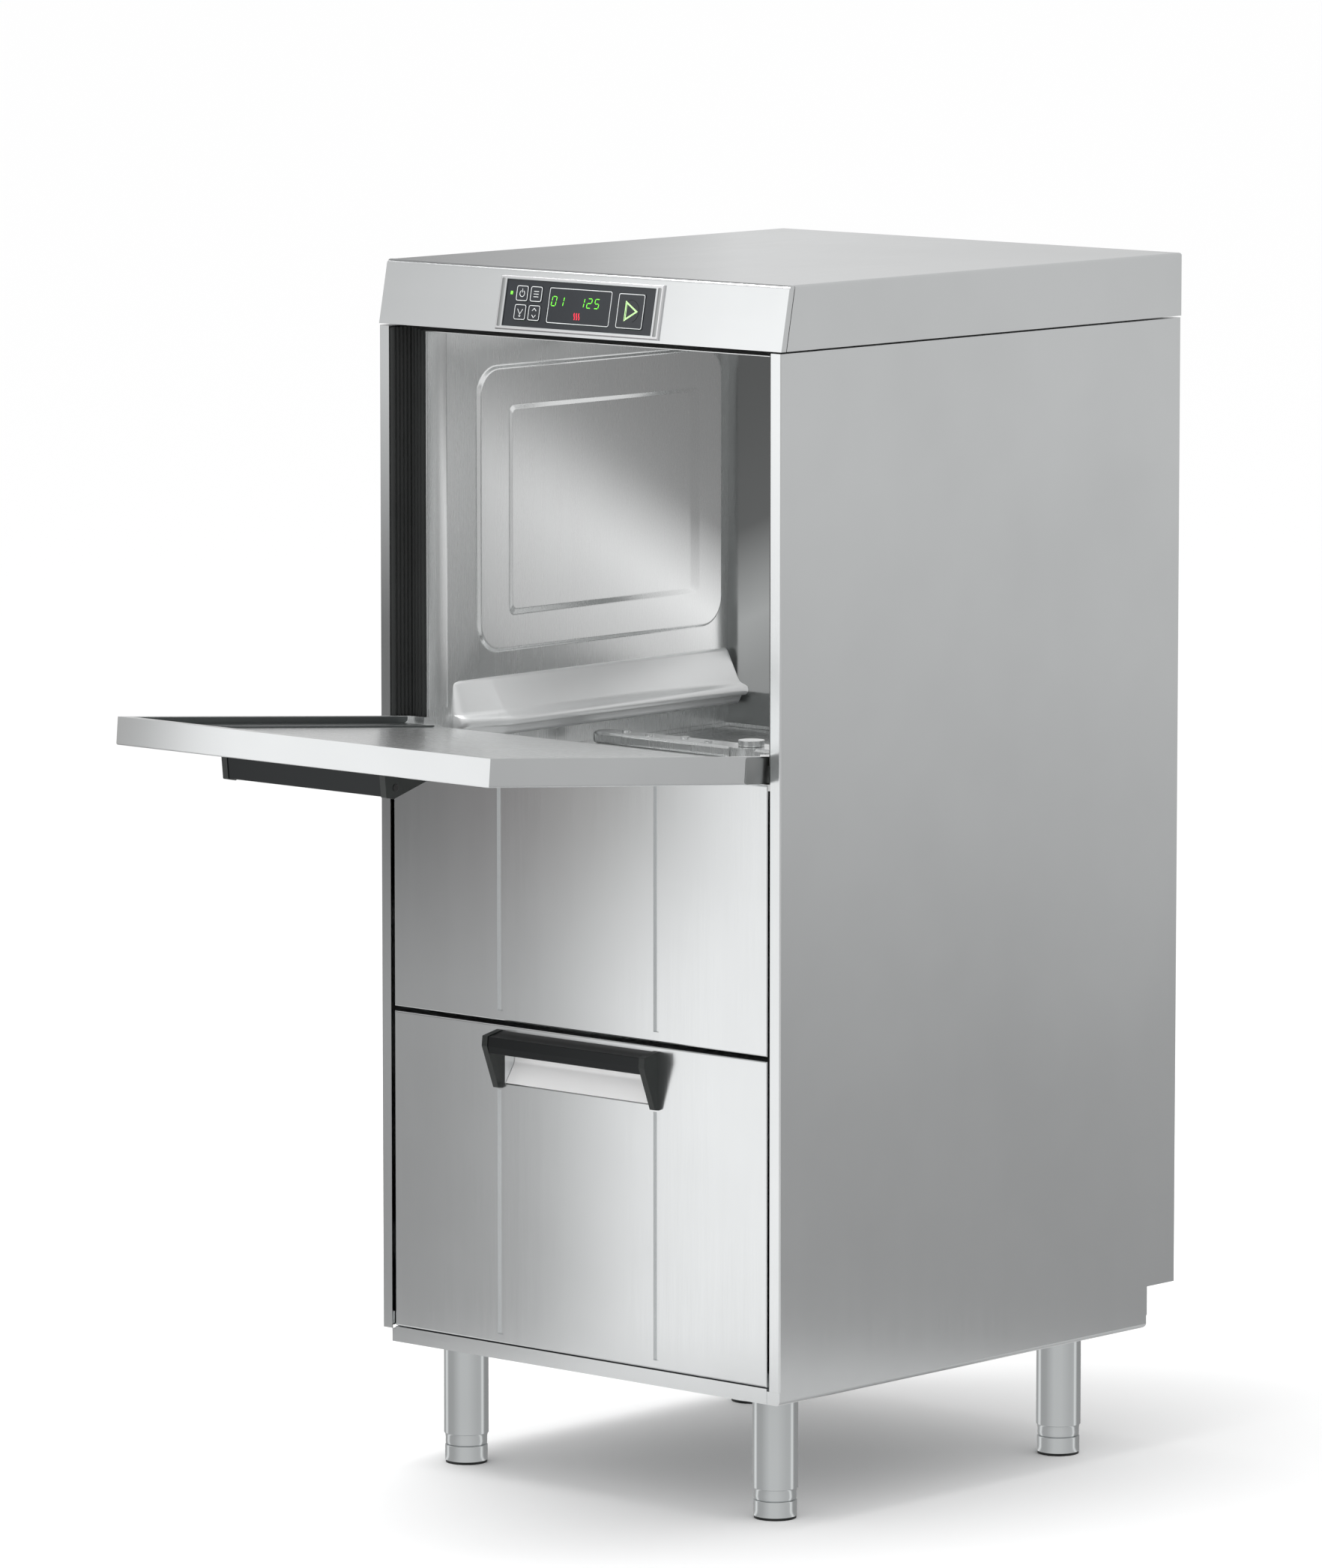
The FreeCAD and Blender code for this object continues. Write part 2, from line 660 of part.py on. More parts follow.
def handle_caps(name, face, top, lay=None):
    """Two end caps whose outline swells at the top and thins to the panel below."""
    pair = []
    for side in (-1, 1):
        cap = Piece(f"{name}_{side}".replace("-", "n"), node=False)
        outline = [
            (face, top),
            (face - cap_proud + 1.2, top - 4.6),
            (face - cap_proud, top - 16),
            (face - 6.5, top - cap_high + 1),
            (face, top - cap_high),
        ]
        cap.prism("YZ", outline, span(cap_out * side, cap_wide))
        front_edge = as_size(face).number - cap_proud.number
        cap.round(1.1, lambda at, run: run == "X" and at.y < front_edge + 3)
        if lay:
            lay(cap)
        pair.append(cap)
    group(name, pair)


def handle_grip(name, face, top, lay=None):
    """Hooked extrusion between the end caps, open underneath for the fingers."""
    grip = Piece(name)
    tip = face - cap_proud + 1
    outline = [
        (face, top - 1),
        (tip + 1.2, top - 5.4),
        (tip, top - 16),
        (tip + 2.2, top - 24),
        (tip + 5.2, top - 25),
        (tip + 6.2, top - 22),
        (tip + 5.2, top - 10.5),
        (face, top - 6.5),
    ]
    grip.prism("YZ", outline, both(cap_out - cap_wide / 2))
    grip.round(0.9, lambda at, run: run == "X" and at.y < as_size(tip).number + 5.5)
    if lay:
        lay(grip)


# ---- drawer and its runners ---------------------------------------------------------------

def drawer_tray():
    """Open tray behind the drawer front, with the runners' inner members on its sides."""
    tray = Piece("drawer_tray")
    y = (drawer_start, drawer_start + tray_deep)
    tray.box(both(tray_half), y, (tray_foot, tray_foot + tray_high))
    inside = (y[0] + metal, y[1] - metal)
    tray.box(both(tray_half - metal), inside, (tray_foot + metal, tray_foot + tray_high + 1), cut=True)
    for side in (-1, 1):
        x = sided(side, tray_half, tray_half + runner_thick)
        tray.box(x, (y[0] + 4, y[1]), span(runner_height, 26))


def runner(name, inner, high, start):
    """A pair of straight runner members, one on each side."""
    pair = []
    for side in (-1, 1):
        member = Piece(f"{name}_{side}".replace("-", "n"), node=False)
        x = sided(side, inner, inner + runner_thick)
        member.box(x, (start, start + tray_deep), span(runner_height, high))
        pair.append(member)
    return pair


def runners():
    start = drawer_start + 4
    middle = tray_half + runner_thick + run_gap
    group("runner_members", runner("runner_member", middle, 32, start))
    outer = middle + runner_thick + run_gap
    rails = runner("runner_rail", outer, 44, start)
    for rail, side in zip(rails, (-1, 1)):
        bracket = sided(side, outer + runner_thick - 1, half - metal - fit_gap)
        for along in (60, 360):
            rail.box(bracket, (start + along, start + along + 30), span(runner_height, 40))
    group("runner_rails", rails)


def bottle(name, x, y, top):
    """Moulded canister with a round neck and cap."""
    can = Piece(name)
    foot_level = tray_foot + metal
    can.box(x, y, (foot_level, foot_level + top))
    can.round(14, lambda at, run: run == "Z")
    can.round(6, lambda at, run: at.z > (foot_level + top).number - 0.5)
    middle = ((x[0] + x[1]) / 2, y[0] + (y[1] - y[0]) / 2)
    can.rod("Z", 22, middle, (foot_level + top - 1, foot_level + top + 12))
    can.rod("Z", 27, middle, (foot_level + top + 11, foot_level + top + 34))


# ---- wash chamber -------------------------------------------------------------------------

def chamber_side(name, side):
    """Side wall whose pressed panel stands into the chamber."""
    wall = Piece(name)
    y = (wall_start, front + chamber_back)
    wall.box(sided(side, chamber_half, chamber_half + metal), y, (chamber_floor + fit_gap, chamber_top))
    press_y = (y[0] + press_from_front, y[1] - press_from_back)
    press_z = (chamber_floor + press_rise, chamber_top - press_drop)
    wall.box(sided(side, chamber_half - press_in, chamber_half), press_y, press_z)
    inner_y = (press_y[0] + metal, press_y[1] - metal)
    inner_z = (press_z[0] + metal, press_z[1] - metal)
    behind = sided(side, chamber_half - press_in + metal, chamber_half + metal + 1)
    wall.box(behind, inner_y, inner_z, cut=True)
    wall.round(press_round - metal, lambda at, run: run == "X" and span_holds(at, inner_y, inner_z))
    wall.round(press_round, lambda at, run: run == "X" and span_holds(at, press_y, press_z))


def span_holds(at, y, z):
    """True for a point on a corner of a Y and Z rectangle."""
    near_y = min(abs(at.y - y[0].number), abs(at.y - y[1].number)) < 0.1
    near_z = min(abs(at.z - z[0].number), abs(at.z - z[1].number)) < 0.1
    return near_y and near_z


def chamber_back_wall():
    wall = Piece("chamber_back_wall")
    y = front + chamber_back
    wall.box(both(chamber_half + metal), (y, y + metal), (chamber_floor + fit_gap, chamber_top))


def chamber_ceiling():
    ceiling = Piece("chamber_ceiling")
    y = (wall_start, front + chamber_back + metal)
    ceiling.box(both(chamber_half + metal), y, (chamber_top, chamber_top + metal))
    ceiling.rod("Z", shaft_radius + 9 + fit_gap, (0, arm_y), (chamber_top - 1, chamber_top + 5), cut=True)


def door_frame():
    """Flat frame round the loading opening, open below over the tank."""
    frame = Piece("door_frame")
    y = (frame_face, frame_face + frame_thick)
    frame.box(both(half - flange), y, (frame_foot, panel_top - metal - fit_gap))
    frame.box(both(chamber_half), (y[0] - 1, y[1] + 1), (frame_foot - 1, opening_top), cut=True)
    for side in (-1, 1):
        tab = sided(side, half - flange - 4, half - flange)
        frame.box(tab, (y[0], y[1] + 20), (frame_foot, panel_top - metal - fit_gap))


def door_gasket():
    """Rubber seal on the door frame, against which the closed door rests."""
    gasket = Piece("door_gasket")
    y = (frame_face - gasket_thick, frame_face)
    outer = chamber_half + 1 + gasket_wide
    top = opening_top + 1 + gasket_top
    low = hinge_height + gasket_rise
    gasket.box(both(outer), y, (low, top))
    gasket.box(both(chamber_half + 1), (y[0] - 1, y[1] + 1), (low - 1, opening_top + 1), cut=True)


def rack_rail(name, side):
    """Pressed ledge that carries the glass rack: a slope from the wall to a rounded lip."""
    rail = Piece(name)
    tip = (chamber_half - rail_out) * side
    root = (chamber_half - fit_gap / 3) * side
    foot_level = rail_top - rail_high
    lip_top = rail_top - slope_drop
    outline = [
        (root, rail_top),
        (tip, lip_top),
        (tip, lip_top - lip_thick),
        (tip + 9 * side, foot_level),
        (root, foot_level),
    ]
    y = (frame_face + rail_from_front, front + chamber_back - rail_from_back)
    rail.prism("XZ", outline, y)
    rail.round(3, lambda at, run: run == "Y" and abs(at.x) < (chamber_half - rail_out).number + 10)
    hollow = [
        (root + side, rail_top - 8),
        (tip + 5 * side, lip_top - 3),
        (tip + 12 * side, foot_level + metal),
        (root + side, foot_level + metal),
    ]
    rail.prism("XZ", hollow, (y[0] + metal, y[1] - metal), cut=True)


def wash_tank():
    """Tank below the chamber, with a sump and ledges for the strainer."""
    tank = Piece("wash_tank")
    y = (front + tank_front, front + chamber_back + metal)
    tank.box(both(chamber_half + metal), y, (tank_floor, chamber_floor))
    inner_y = (y[0] + metal, y[1] - metal)
    inner_floor = tank_floor + metal
    tank.box(both(chamber_half), inner_y, (inner_floor, chamber_floor + 1), cut=True)
    bend = 20
    tank.round(bend - metal, lambda at, run: run in ("X", "Y") and abs(at.z - inner_floor.number) < 0.1)
    tank.round(bend, lambda at, run: run in ("X", "Y") and at.z < tank_floor.number + 0.1)
    ledge = (filter_level - 12, filter_level - fit_gap)
    for side in (-1, 1):
        tank.box(sided(side, chamber_half - 8, chamber_half + 0.5), (y[0] + 60, inner_y[1] - 20), ledge)
    tank.rod("Z", 70, (0, arm_y + 110), (tank_floor - 36, tank_floor + metal))
    tank.rod("Z", 68, (0, arm_y + 110), (tank_floor - 34, tank_floor + 5), cut=True)


def tank_filter():
    """Flat strainer over the tank, cut out round the lower spindle."""
    strainer = Piece("tank_filter")
    y = (front + chamber_front + 24, front + chamber_back - 2)
    strainer.box(both(chamber_half - 1), y, (filter_level, filter_level + metal))
    strainer.rod("Z", 20, (0, arm_y), (filter_level - 1, filter_level + 3), cut=True)
    strainer.rod("Z", 62, (0, arm_y + 110), (filter_level - 40, filter_level + 0.5))
    strainer.rod("Z", 60, (0, arm_y + 110), (filter_level - 38, filter_level + 3), cut=True)


# ---- wash arms and their spindles ---------------------------------------------------------


def wash_arm(name, foot_level, jets_up):
    """Flat tube with rounded ends, a hub and a row of raised jets."""
    arm = Piece(name)
    z = (foot_level, foot_level + arm_thick)
    arm.box(both(arm_reach - arm_wide / 2), span(arm_y, arm_wide), z)
    for side in (-1, 1):
        arm.rod("Z", arm_wide / 2, ((arm_reach - arm_wide / 2) * side, arm_y), z)
    arm.round(4, lambda at, run: run == "X")
    arm.rod("Z", 26, (0, arm_y), z)
    face = z[1] if jets_up else z[0] - 1.5
    for side in (-1, 1):
        for out in (60, 105, 150, 195):
            offset = 5 if out % 2 else -5
            arm.rod("Z", 5, (out * side, arm_y + offset), (face - 0.5, face + 2))
    arm.rod("Z", shaft_radius + pin_play, (0, arm_y), (z[0] - 5, z[1] + 5), cut=True)


def spindle(name, root, shoulder, arm_end, cap):
    """Feed tube with a shoulder, the shaft through an arm's hub and the cap that holds it."""
    shaft = Piece(name, node=False)
    at = (0, arm_y)
    shaft.rod("Z", shaft_radius + 9, at, tuple(sorted((root, shoulder), key=lambda s: as_size(s).number)))
    shaft.rod("Z", shaft_radius, at, tuple(sorted((shoulder, cap), key=lambda s: as_size(s).number)))
    shaft.rod("Z", shaft_radius + 7, at, tuple(sorted((arm_end, cap), key=lambda s: as_size(s).number)))
    return shaft


def spindles():
    play = 0.5
    lower = spindle(
        "lower_spindle",
        tank_floor + metal,
        lower_arm - play,
        lower_arm + arm_thick + play,
        lower_arm + arm_thick + 7,
    )
    upper = spindle(
        "upper_spindle",
        chamber_top + 12,
        upper_arm + arm_thick + play,
        upper_arm - play,
        upper_arm - 7,
    )
    group("wash_spindles", [lower, upper])


# ---- machinery in the lower compartment ---------------------------------------------------


def wash_pump():
    """Motor lying across the machine with its volute and outlet."""
    pump = Piece("wash_pump")
    level = machine_floor + 110
    pump.rod("X", 60, (machine_y, level), (-230, -70))
    pump.round(8, lambda at, run: run == "round")
    pump.rod("X", 74, (machine_y, level), (-71, -20))
    pump.rod("Z", 20, (-45, machine_y), (level, level + 150))
    pump.box((-200, -90), span(machine_y, 70), (machine_floor, level - 40))
    pump.rod("X", 54, (machine_y, level), (-231, -80), cut=True)


def boiler():
    """Rinse heater: an upright shell with a flange and three element terminals."""
    vessel = Piece("boiler")
    top = machine_floor + 300
    vessel.rod("Z", 68, (150, machine_y), (machine_floor, top))
    vessel.round(10, lambda at, run: run == "round" and at.z > top.number - 1)
    vessel.rod("Z", 68 - metal, (150, machine_y), (machine_floor - 1, top - 20), cut=True)
    vessel.rod("Z", 40, (150, machine_y), (top - 1, top + 12))
    for side in (-1, 0, 1):
        vessel.rod("Z", 4, (150 + 18 * side, machine_y), (top + 11, top + 26))


# ---- door, made upright about its hinge axis and laid open --------------------------------


def on_door(piece):
    """Lays a piece made with the hinge axis as its origin on the open door."""
    piece.lay((hinge_y, hinge_height), 1, 90 - door_rise)
    return piece


def door_skin():
    """Outer sheet of the door with its returns and the finger pocket."""
    skin = Piece("door_skin")
    z = (-door_below, door_above)
    skin.box(both(door_half), (door_face, door_back), z)
    skin.round(2, lambda at, run: at.y < door_face.number + 0.1 and run in ("X", "Z"))
    inner_z = (z[0] + metal, z[1] - metal)
    skin.box(both(door_half - metal), (door_face + metal, door_back + 1), inner_z, cut=True)
    finger_pocket(skin, door_face, door_handle_top, metal)
    mouth_y = (liner_floor - fit_gap, door_back + 1)
    skin.box(both(tongue_half + fit_gap), mouth_y, (z[0] - 1, inner_z[0] + 1), cut=True)
    skin.rod("X", pin_radius + pin_play, (0, 0), (-door_half - 1, door_half + 1), cut=True)
    on_door(skin)


def door_liner():
    """Inner sheet of the door: a rim, a step and a flat plate, open towards the hinge."""
    liner = Piece("door_liner")
    around = door_half - metal - fit_gap
    top = door_above - metal - fit_gap
    foot_edge = -door_below + metal + fit_gap
    liner.box(both(around), (liner_floor, door_back), (foot_edge, top))
    liner.box(both(tongue_half), (liner_floor, door_back), (-tongue_below, foot_edge + 1))
    step = door_half - side_rim
    step_top = door_above - front_rim
    step_y = (door_back - dish_deep, door_back + 1)
    liner.box(both(step), step_y, (foot_edge + side_rim, step_top), cut=True)
    liner.box(both(tongue_half - side_rim), step_y, (-tongue_below - 1, foot_edge + side_rim + 1), cut=True)
    plate = step - step_wide
    plate_y = (door_back - dish_deep - plate_deep, door_back)
    liner.box(both(plate), plate_y, (-tongue_below - 1, step_top - step_wide), cut=True)
    on_door(liner)


def hinges():
    """Pins that stand out of the door's sides, and the blocks on the housing that hold them."""
    pins = []
    blocks = []
    gap = 2
    for side, hand in ((-1, "left"), (1, "right")):
        pin = Piece("hinge_pin_" + hand, node=False)
        pin.rod("X", pin_radius, (0, 0), sided(side, door_half - 12, door_half + 14))
        on_door(pin)
        pins.append(pin)
        block = Piece("hinge_block_" + hand, node=False)
        x = sided(side, door_half + gap, half - metal - fit_gap)
        block.box(x, (hinge_y - 8, hinge_y + 12), span(hinge_height, 26))
        block.rod("X", pin_radius + pin_play, (hinge_y, hinge_height), x, cut=True)
        blocks.append(block)
    group("hinge_pins", pins)
    group("hinge_blocks", blocks)


# ---- build --------------------------------------------------------------------------------

for side_name, side in (("left", -1), ("right", 1)):
    side_panel(side_name + "_side_panel", side)
    chamber_side(f"chamber_{side_name}_wall", side)
    rack_rail("rack_rail_" + side_name, side)
back_panel()
lid()
front_fascia()
control_bezel()
control_glass()
display_window()
for key_name in KEYS:
    control_key(key_name)
control_board()
base_tray()
for fitting_name in SERVICES:
    service_fitting(fitting_name)
for corner in LEGS:
    leg(corner)
    foot(corner)
service_panel()
drawer_front()
handle_caps("drawer_handle_caps", front + panel_inset, drawer_top - handle_drop)
handle_grip("drawer_handle", front + panel_inset, drawer_top - handle_drop)
drawer_tray()
runners()
bottle("detergent_bottle", (as_size(-215), as_size(-55)), (front + 90, front + 330), 210)
bottle("rinse_bottle", (as_size(-35), as_size(85)), (front + 90, front + 290), 190)
chamber_back_wall()
chamber_ceiling()
door_frame()
door_gasket()
wash_tank()
tank_filter()
wash_arm("lower_wash_arm", lower_arm, True)
wash_arm("upper_wash_arm", upper_arm, False)
spindles()
wash_pump()
boiler()
door_skin()
door_liner()
handle_caps("door_handle_caps", door_face, door_handle_top, on_door)
handle_grip("door_handle", door_face, door_handle_top, on_door)
hinges()

doc.recompute()

faults = [part.Label for part in doc.Objects if "Invalid" in part.State or "Error" in part.State]
if faults:
    raise RuntimeError(f"these objects failed: {faults}")
broken = [node.Label for node in nodes if node.Shape.isNull() or not node.Shape.isValid()]
if broken:
    raise RuntimeError(f"these nodes have no valid shape: {broken}")

os.makedirs("parts", exist_ok=True)
for node in nodes:
    node.Shape.exportStep(f"parts/{node.Label}.step")
    print(node.Label, len(node.Shape.Solids), "solids", round(node.Shape.Volume / 1000, 1), "cm3")
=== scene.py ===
"""Front-loading glass washer on four legs: camera, studio, materials and the fine detail of each piece."""
import json
from math import cos, pi, radians, sin

import bpy
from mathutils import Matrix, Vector


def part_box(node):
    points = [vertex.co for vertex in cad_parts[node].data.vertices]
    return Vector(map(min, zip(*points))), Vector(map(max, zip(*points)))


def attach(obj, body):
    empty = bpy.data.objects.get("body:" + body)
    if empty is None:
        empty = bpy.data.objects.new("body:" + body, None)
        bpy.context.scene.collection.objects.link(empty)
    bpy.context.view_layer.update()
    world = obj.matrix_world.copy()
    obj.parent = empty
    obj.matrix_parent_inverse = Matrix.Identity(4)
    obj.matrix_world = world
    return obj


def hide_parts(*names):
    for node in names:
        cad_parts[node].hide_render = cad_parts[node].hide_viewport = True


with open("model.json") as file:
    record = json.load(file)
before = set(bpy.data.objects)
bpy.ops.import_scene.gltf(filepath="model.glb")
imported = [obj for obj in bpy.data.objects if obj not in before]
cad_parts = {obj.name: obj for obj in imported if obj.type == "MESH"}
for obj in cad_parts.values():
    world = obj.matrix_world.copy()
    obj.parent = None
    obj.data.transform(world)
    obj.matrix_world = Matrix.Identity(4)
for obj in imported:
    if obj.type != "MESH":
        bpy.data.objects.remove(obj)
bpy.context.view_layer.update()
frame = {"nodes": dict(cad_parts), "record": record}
NODES = frame["nodes"]
X, Y, Z = 0, 1, 2


def low(node, axis):
    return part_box(node)[0][axis]


def high(node, axis):
    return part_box(node)[1][axis]


def centre_of(node):
    lowest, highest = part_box(node)
    return (lowest + highest) / 2


def floor_under(node):
    """Point on the floor under the middle of a node."""
    centre = centre_of(node)
    return (centre.x, centre.y, 0)


def half_width(node):
    return (high(node, X) - low(node, X)) / 2


# ---- places and sizes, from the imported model, in metres -------------------------------------

SHEET = 0.0012
FRONT = low("right_side_panel", Y)
BACK = high("right_side_panel", Y)
HALF = high("right_side_panel", X)
LID_FOOT = low("front_fascia", Z)
LEAN = radians(11.25)
GASKET_TOP = 0.005
GASKET_GAP = 0.001
OPENING_TOP = high("door_gasket", Z) - GASKET_TOP - GASKET_GAP
PRESS_IN = 0.004
WALL_IN = high("chamber_left_wall", X) - PRESS_IN
WALL_START = low("chamber_left_wall", Y)
WALL_END = high("chamber_left_wall", Y)
WALL_FOOT = low("chamber_left_wall", Z)
WALL_TOP = high("chamber_left_wall", Z)
HINGE = centre_of("hinge_pins")
DOOR_RISE = radians(5)
DOOR_HALF = high("door_skin", X)
CORNERS = [f"{row}_{hand}" for row in ("front", "back") for hand in ("left", "right")]
SIDES = (("left", -1), ("right", 1))


# ---- mesh building --------------------------------------------------------------------------

class Shape:
    """Points and faces of one piece, in the row frame."""

    def __init__(self):
        self.points = []
        self.faces = []

    def ring(self, points):
        first = len(self.points)
        self.points.extend(tuple(p) for p in points)
        return list(range(first, len(self.points)))

    def strip(self, one, two, closed=True):
        count = len(one)
        for i in range(count if closed else count - 1):
            j = (i + 1) % count
            self.faces.append((one[i], one[j], two[j], two[i]))

    def loft(self, rings):
        """Adds a closed solid through rings of points, with a face at each end."""
        loops = [self.ring(points) for points in rings]
        for one, two in zip(loops, loops[1:]):
            self.strip(one, two)
        self.faces.append(tuple(reversed(loops[0])))
        self.faces.append(tuple(loops[-1]))
        return self


def finished(name, shape, material, body, replaces=(), sharp=35):
    """Turns a shape into a piece that rides on a body. Edges past the sharp angle, in degrees, stay crisp."""
    mesh = bpy.data.meshes.new(name)
    mesh.from_pydata(shape.points, [], shape.faces)
    mesh.validate()
    mesh.materials.append(material)
    piece = bpy.data.objects.new(name, mesh)
    bpy.context.scene.collection.objects.link(piece)
    bpy.context.view_layer.objects.active = piece
    piece.select_set(True)
    bpy.ops.object.mode_set(mode="EDIT")
    bpy.ops.mesh.select_all(action="SELECT")
    bpy.ops.mesh.normals_make_consistent(inside=False)
    bpy.ops.object.mode_set(mode="OBJECT")
    piece.select_set(False)
    mesh.shade_smooth()
    mesh.set_sharp_from_angle(angle=radians(sharp))
    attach(piece, body)
    if replaces:
        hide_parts(*replaces)


def rounded(left, right, foot, top, radius, steps=8):
    """Corner points of a rounded rectangle, anticlockwise from its lower right corner."""
    corners = ((right - radius, foot + radius), (right - radius, top - radius),
               (left + radius, top - radius), (left + radius, foot + radius))
    points = []
    for quarter, (u, v) in enumerate(corners):
        for step in range(steps + 1):
            angle = (quarter - 1 + step / steps) * pi / 2
            points.append((u + radius * cos(angle), v + radius * sin(angle)))
    return points


def circle(radius, steps=32):
    turns = [2 * pi * i / steps for i in range(steps)]
    return [(radius * cos(turn), radius * sin(turn)) for turn in turns]


def prism(shape, outline, axis, start, end):
    """Adds a solid whose outline, given in the two other axes, runs along an axis."""
    rings = []
    for at in (start, end):
        rings.append([tuple(insert(point, axis, at)) for point in outline])
    return shape.loft(rings)


def insert(point, axis, value):
    values = list(point)
    values.insert(axis, value)
    return values


def turned_about(shape, axis, centre, profile, steps=32):
    """Adds a solid of revolution: the profile lists (distance along the axis, radius)."""
    rings = []
    for along, radius in profile:
        ring = []
        for u, v in circle(radius, steps):
            point = insert((u, v), axis, along)
            ring.append([point[i] + centre[i] for i in range(3)])
        rings.append(ring)
    return shape.loft(rings)


# ---- materials ------------------------------------------------------------------------------

class Graph:
    """Short calls for building a node material."""

    def __init__(self, name):
        self.material = bpy.data.materials.new(name)
        self.material.use_nodes = True
        self.nodes = self.material.node_tree.nodes
        self.links = self.material.node_tree.links
        self.shader = self.nodes["Principled BSDF"]

    def add(self, kind, **settings):
        node = self.nodes.new(kind)
        for key, value in settings.items():
            setattr(node, key, value)
        return node

    def link(self, source, target):
        self.links.new(source, target)

    def noise(self, scale, detail=2.0, stretch=(1, 1, 1)):
        coordinates = self.add("ShaderNodeTexCoord")
        mapping = self.add("ShaderNodeMapping")
        mapping.inputs["Scale"].default_value = stretch
        self.link(coordinates.outputs["Object"], mapping.inputs["Vector"])
        texture = self.add("ShaderNodeTexNoise")
        texture.inputs["Scale"].default_value = scale
        texture.inputs["Detail"].default_value = detail
        self.link(mapping.outputs["Vector"], texture.inputs["Vector"])
        return texture.outputs["Fac"]

    def ranged(self, value, least, most, source=(0.3, 0.7)):
        node = self.add("ShaderNodeMapRange")
        node.inputs["From Min"].default_value = source[0]
        node.inputs["From Max"].default_value = source[1]
        node.inputs["To Min"].default_value = least
        node.inputs["To Max"].default_value = most
        self.link(value, node.inputs["Value"])
        return node.outputs["Result"]

    def tones(self, value, first, second):
        ramp = self.add("ShaderNodeValToRGB")
        ramp.color_ramp.elements[0].color = (*first, 1)
        ramp.color_ramp.elements[0].position = 0.3
        ramp.color_ramp.elements[1].color = (*second, 1)
        ramp.color_ramp.elements[1].position = 0.7
        self.link(value, ramp.inputs["Fac"])
        return ramp.outputs["Color"]

    def glows(self, value, stops):
        """Colour ramp through stops of (position, glow), where a glow is a grey or a colour."""
        ramp = self.add("ShaderNodeValToRGB")
        while len(ramp.color_ramp.elements) < len(stops):
            ramp.color_ramp.elements.new(0.5)
        for element, (position, glow) in zip(ramp.color_ramp.elements, stops):
            element.position = position
            element.color = (*(glow if isinstance(glow, tuple) else (glow, glow, glow)), 1)
        self.link(value, ramp.inputs["Fac"])
        return ramp.outputs["Color"]

    def bump(self, height, strength, distance):
        node = self.add("ShaderNodeBump")
        node.inputs["Strength"].default_value = strength
        node.inputs["Distance"].default_value = distance
        self.link(height, node.inputs["Height"])
        self.link(node.outputs["Normal"], self.shader.inputs["Normal"])


def shade(tone, factor):
    return tuple(min(1.0, channel * factor) for channel in tone)


GRAIN_STRETCH = 0.012
GRAIN_SCALE = 1500
BROAD_SCALE = 90
BROAD_STRETCH = 0.6
CLOUD_SCALE = 5
ROUGH_BROAD = 0.012
ROUGH_GRAIN = 0.02


def steel(name, tone, rough, along, bump=0.05, metallic=1.0, brushed=1.0):
    """Brushed or satin steel whose grain runs along an axis."""
    graph = Graph(name)
    stretch = [1.0, 1.0, 1.0]
    stretch[along] = GRAIN_STRETCH
    grain = graph.noise(GRAIN_SCALE, 2, stretch)
    broad = graph.noise(BROAD_SCALE, 3, [part * BROAD_STRETCH if part < 1 else part for part in stretch])
    cloud = graph.noise(CLOUD_SCALE, 3)
    graph.link(graph.tones(cloud, shade(tone, 0.965), shade(tone, 1.02)), graph.shader.inputs["Base Color"])
    mixed = graph.add("ShaderNodeMath", operation="ADD")
    broad_swing = ROUGH_BROAD * brushed
    grain_swing = ROUGH_GRAIN * brushed
    graph.link(graph.ranged(broad, -broad_swing, broad_swing), mixed.inputs[0])
    graph.link(graph.ranged(grain, rough - grain_swing, rough + grain_swing), mixed.inputs[1])
    graph.link(mixed.outputs[0], graph.shader.inputs["Roughness"])
    graph.shader.inputs["Metallic"].default_value = metallic
    graph.bump(grain, bump, 0.00001)
    return graph.material


def moulded(name, tone, rough, grain_scale=2600, bump=0.3, sheen=0.0, specular=0.5):
    """Moulded plastic or rubber with a fine grain and slight tone changes."""
    graph = Graph(name)
    cloud = graph.noise(14, 4)
    grain = graph.noise(grain_scale, 2)
    graph.link(graph.tones(cloud, shade(tone, 0.8), shade(tone, 1.2)), graph.shader.inputs["Base Color"])
    graph.link(graph.ranged(grain, rough - 0.06, rough + 0.06), graph.shader.inputs["Roughness"])
    graph.shader.inputs["Specular IOR Level"].default_value = specular
    graph.shader.inputs["Sheen Weight"].default_value = sheen
    graph.bump(grain, bump, 0.00006)
    return graph.material


def gloss(name, tone, rough):
    """Glass or gloss plastic, almost flat, with faint wiping marks."""
    graph = Graph(name)
    wave = graph.noise(40, 2)
    smudge = graph.noise(18, 5)
    graph.link(graph.tones(smudge, shade(tone, 0.9), shade(tone, 1.12)), graph.shader.inputs["Base Color"])
    graph.link(graph.ranged(smudge, rough * 0.6, rough * 1.7), graph.shader.inputs["Roughness"])
    graph.shader.inputs["Coat Weight"].default_value = 0.25
    graph.shader.inputs["Coat Roughness"].default_value = 0.03
    graph.bump(wave, 0.05, 0.0002)
    return graph.material


def lit(name, tone, strength):
    """Lit segment behind the glass, a little uneven as a diffuser is."""
    graph = Graph(name)
    speckle = graph.noise(900, 2)
    colour = graph.tones(speckle, shade(tone, 0.8), tone)
    graph.link(colour, graph.shader.inputs["Base Color"])
    graph.link(colour, graph.shader.inputs["Emission Color"])
    graph.shader.inputs["Emission Strength"].default_value = strength
    graph.shader.inputs["Roughness"].default_value = 0.3
    return graph.material


PANEL_TONE = (0.80, 0.815, 0.82)
LINER_TONE = (0.80, 0.81, 0.81)

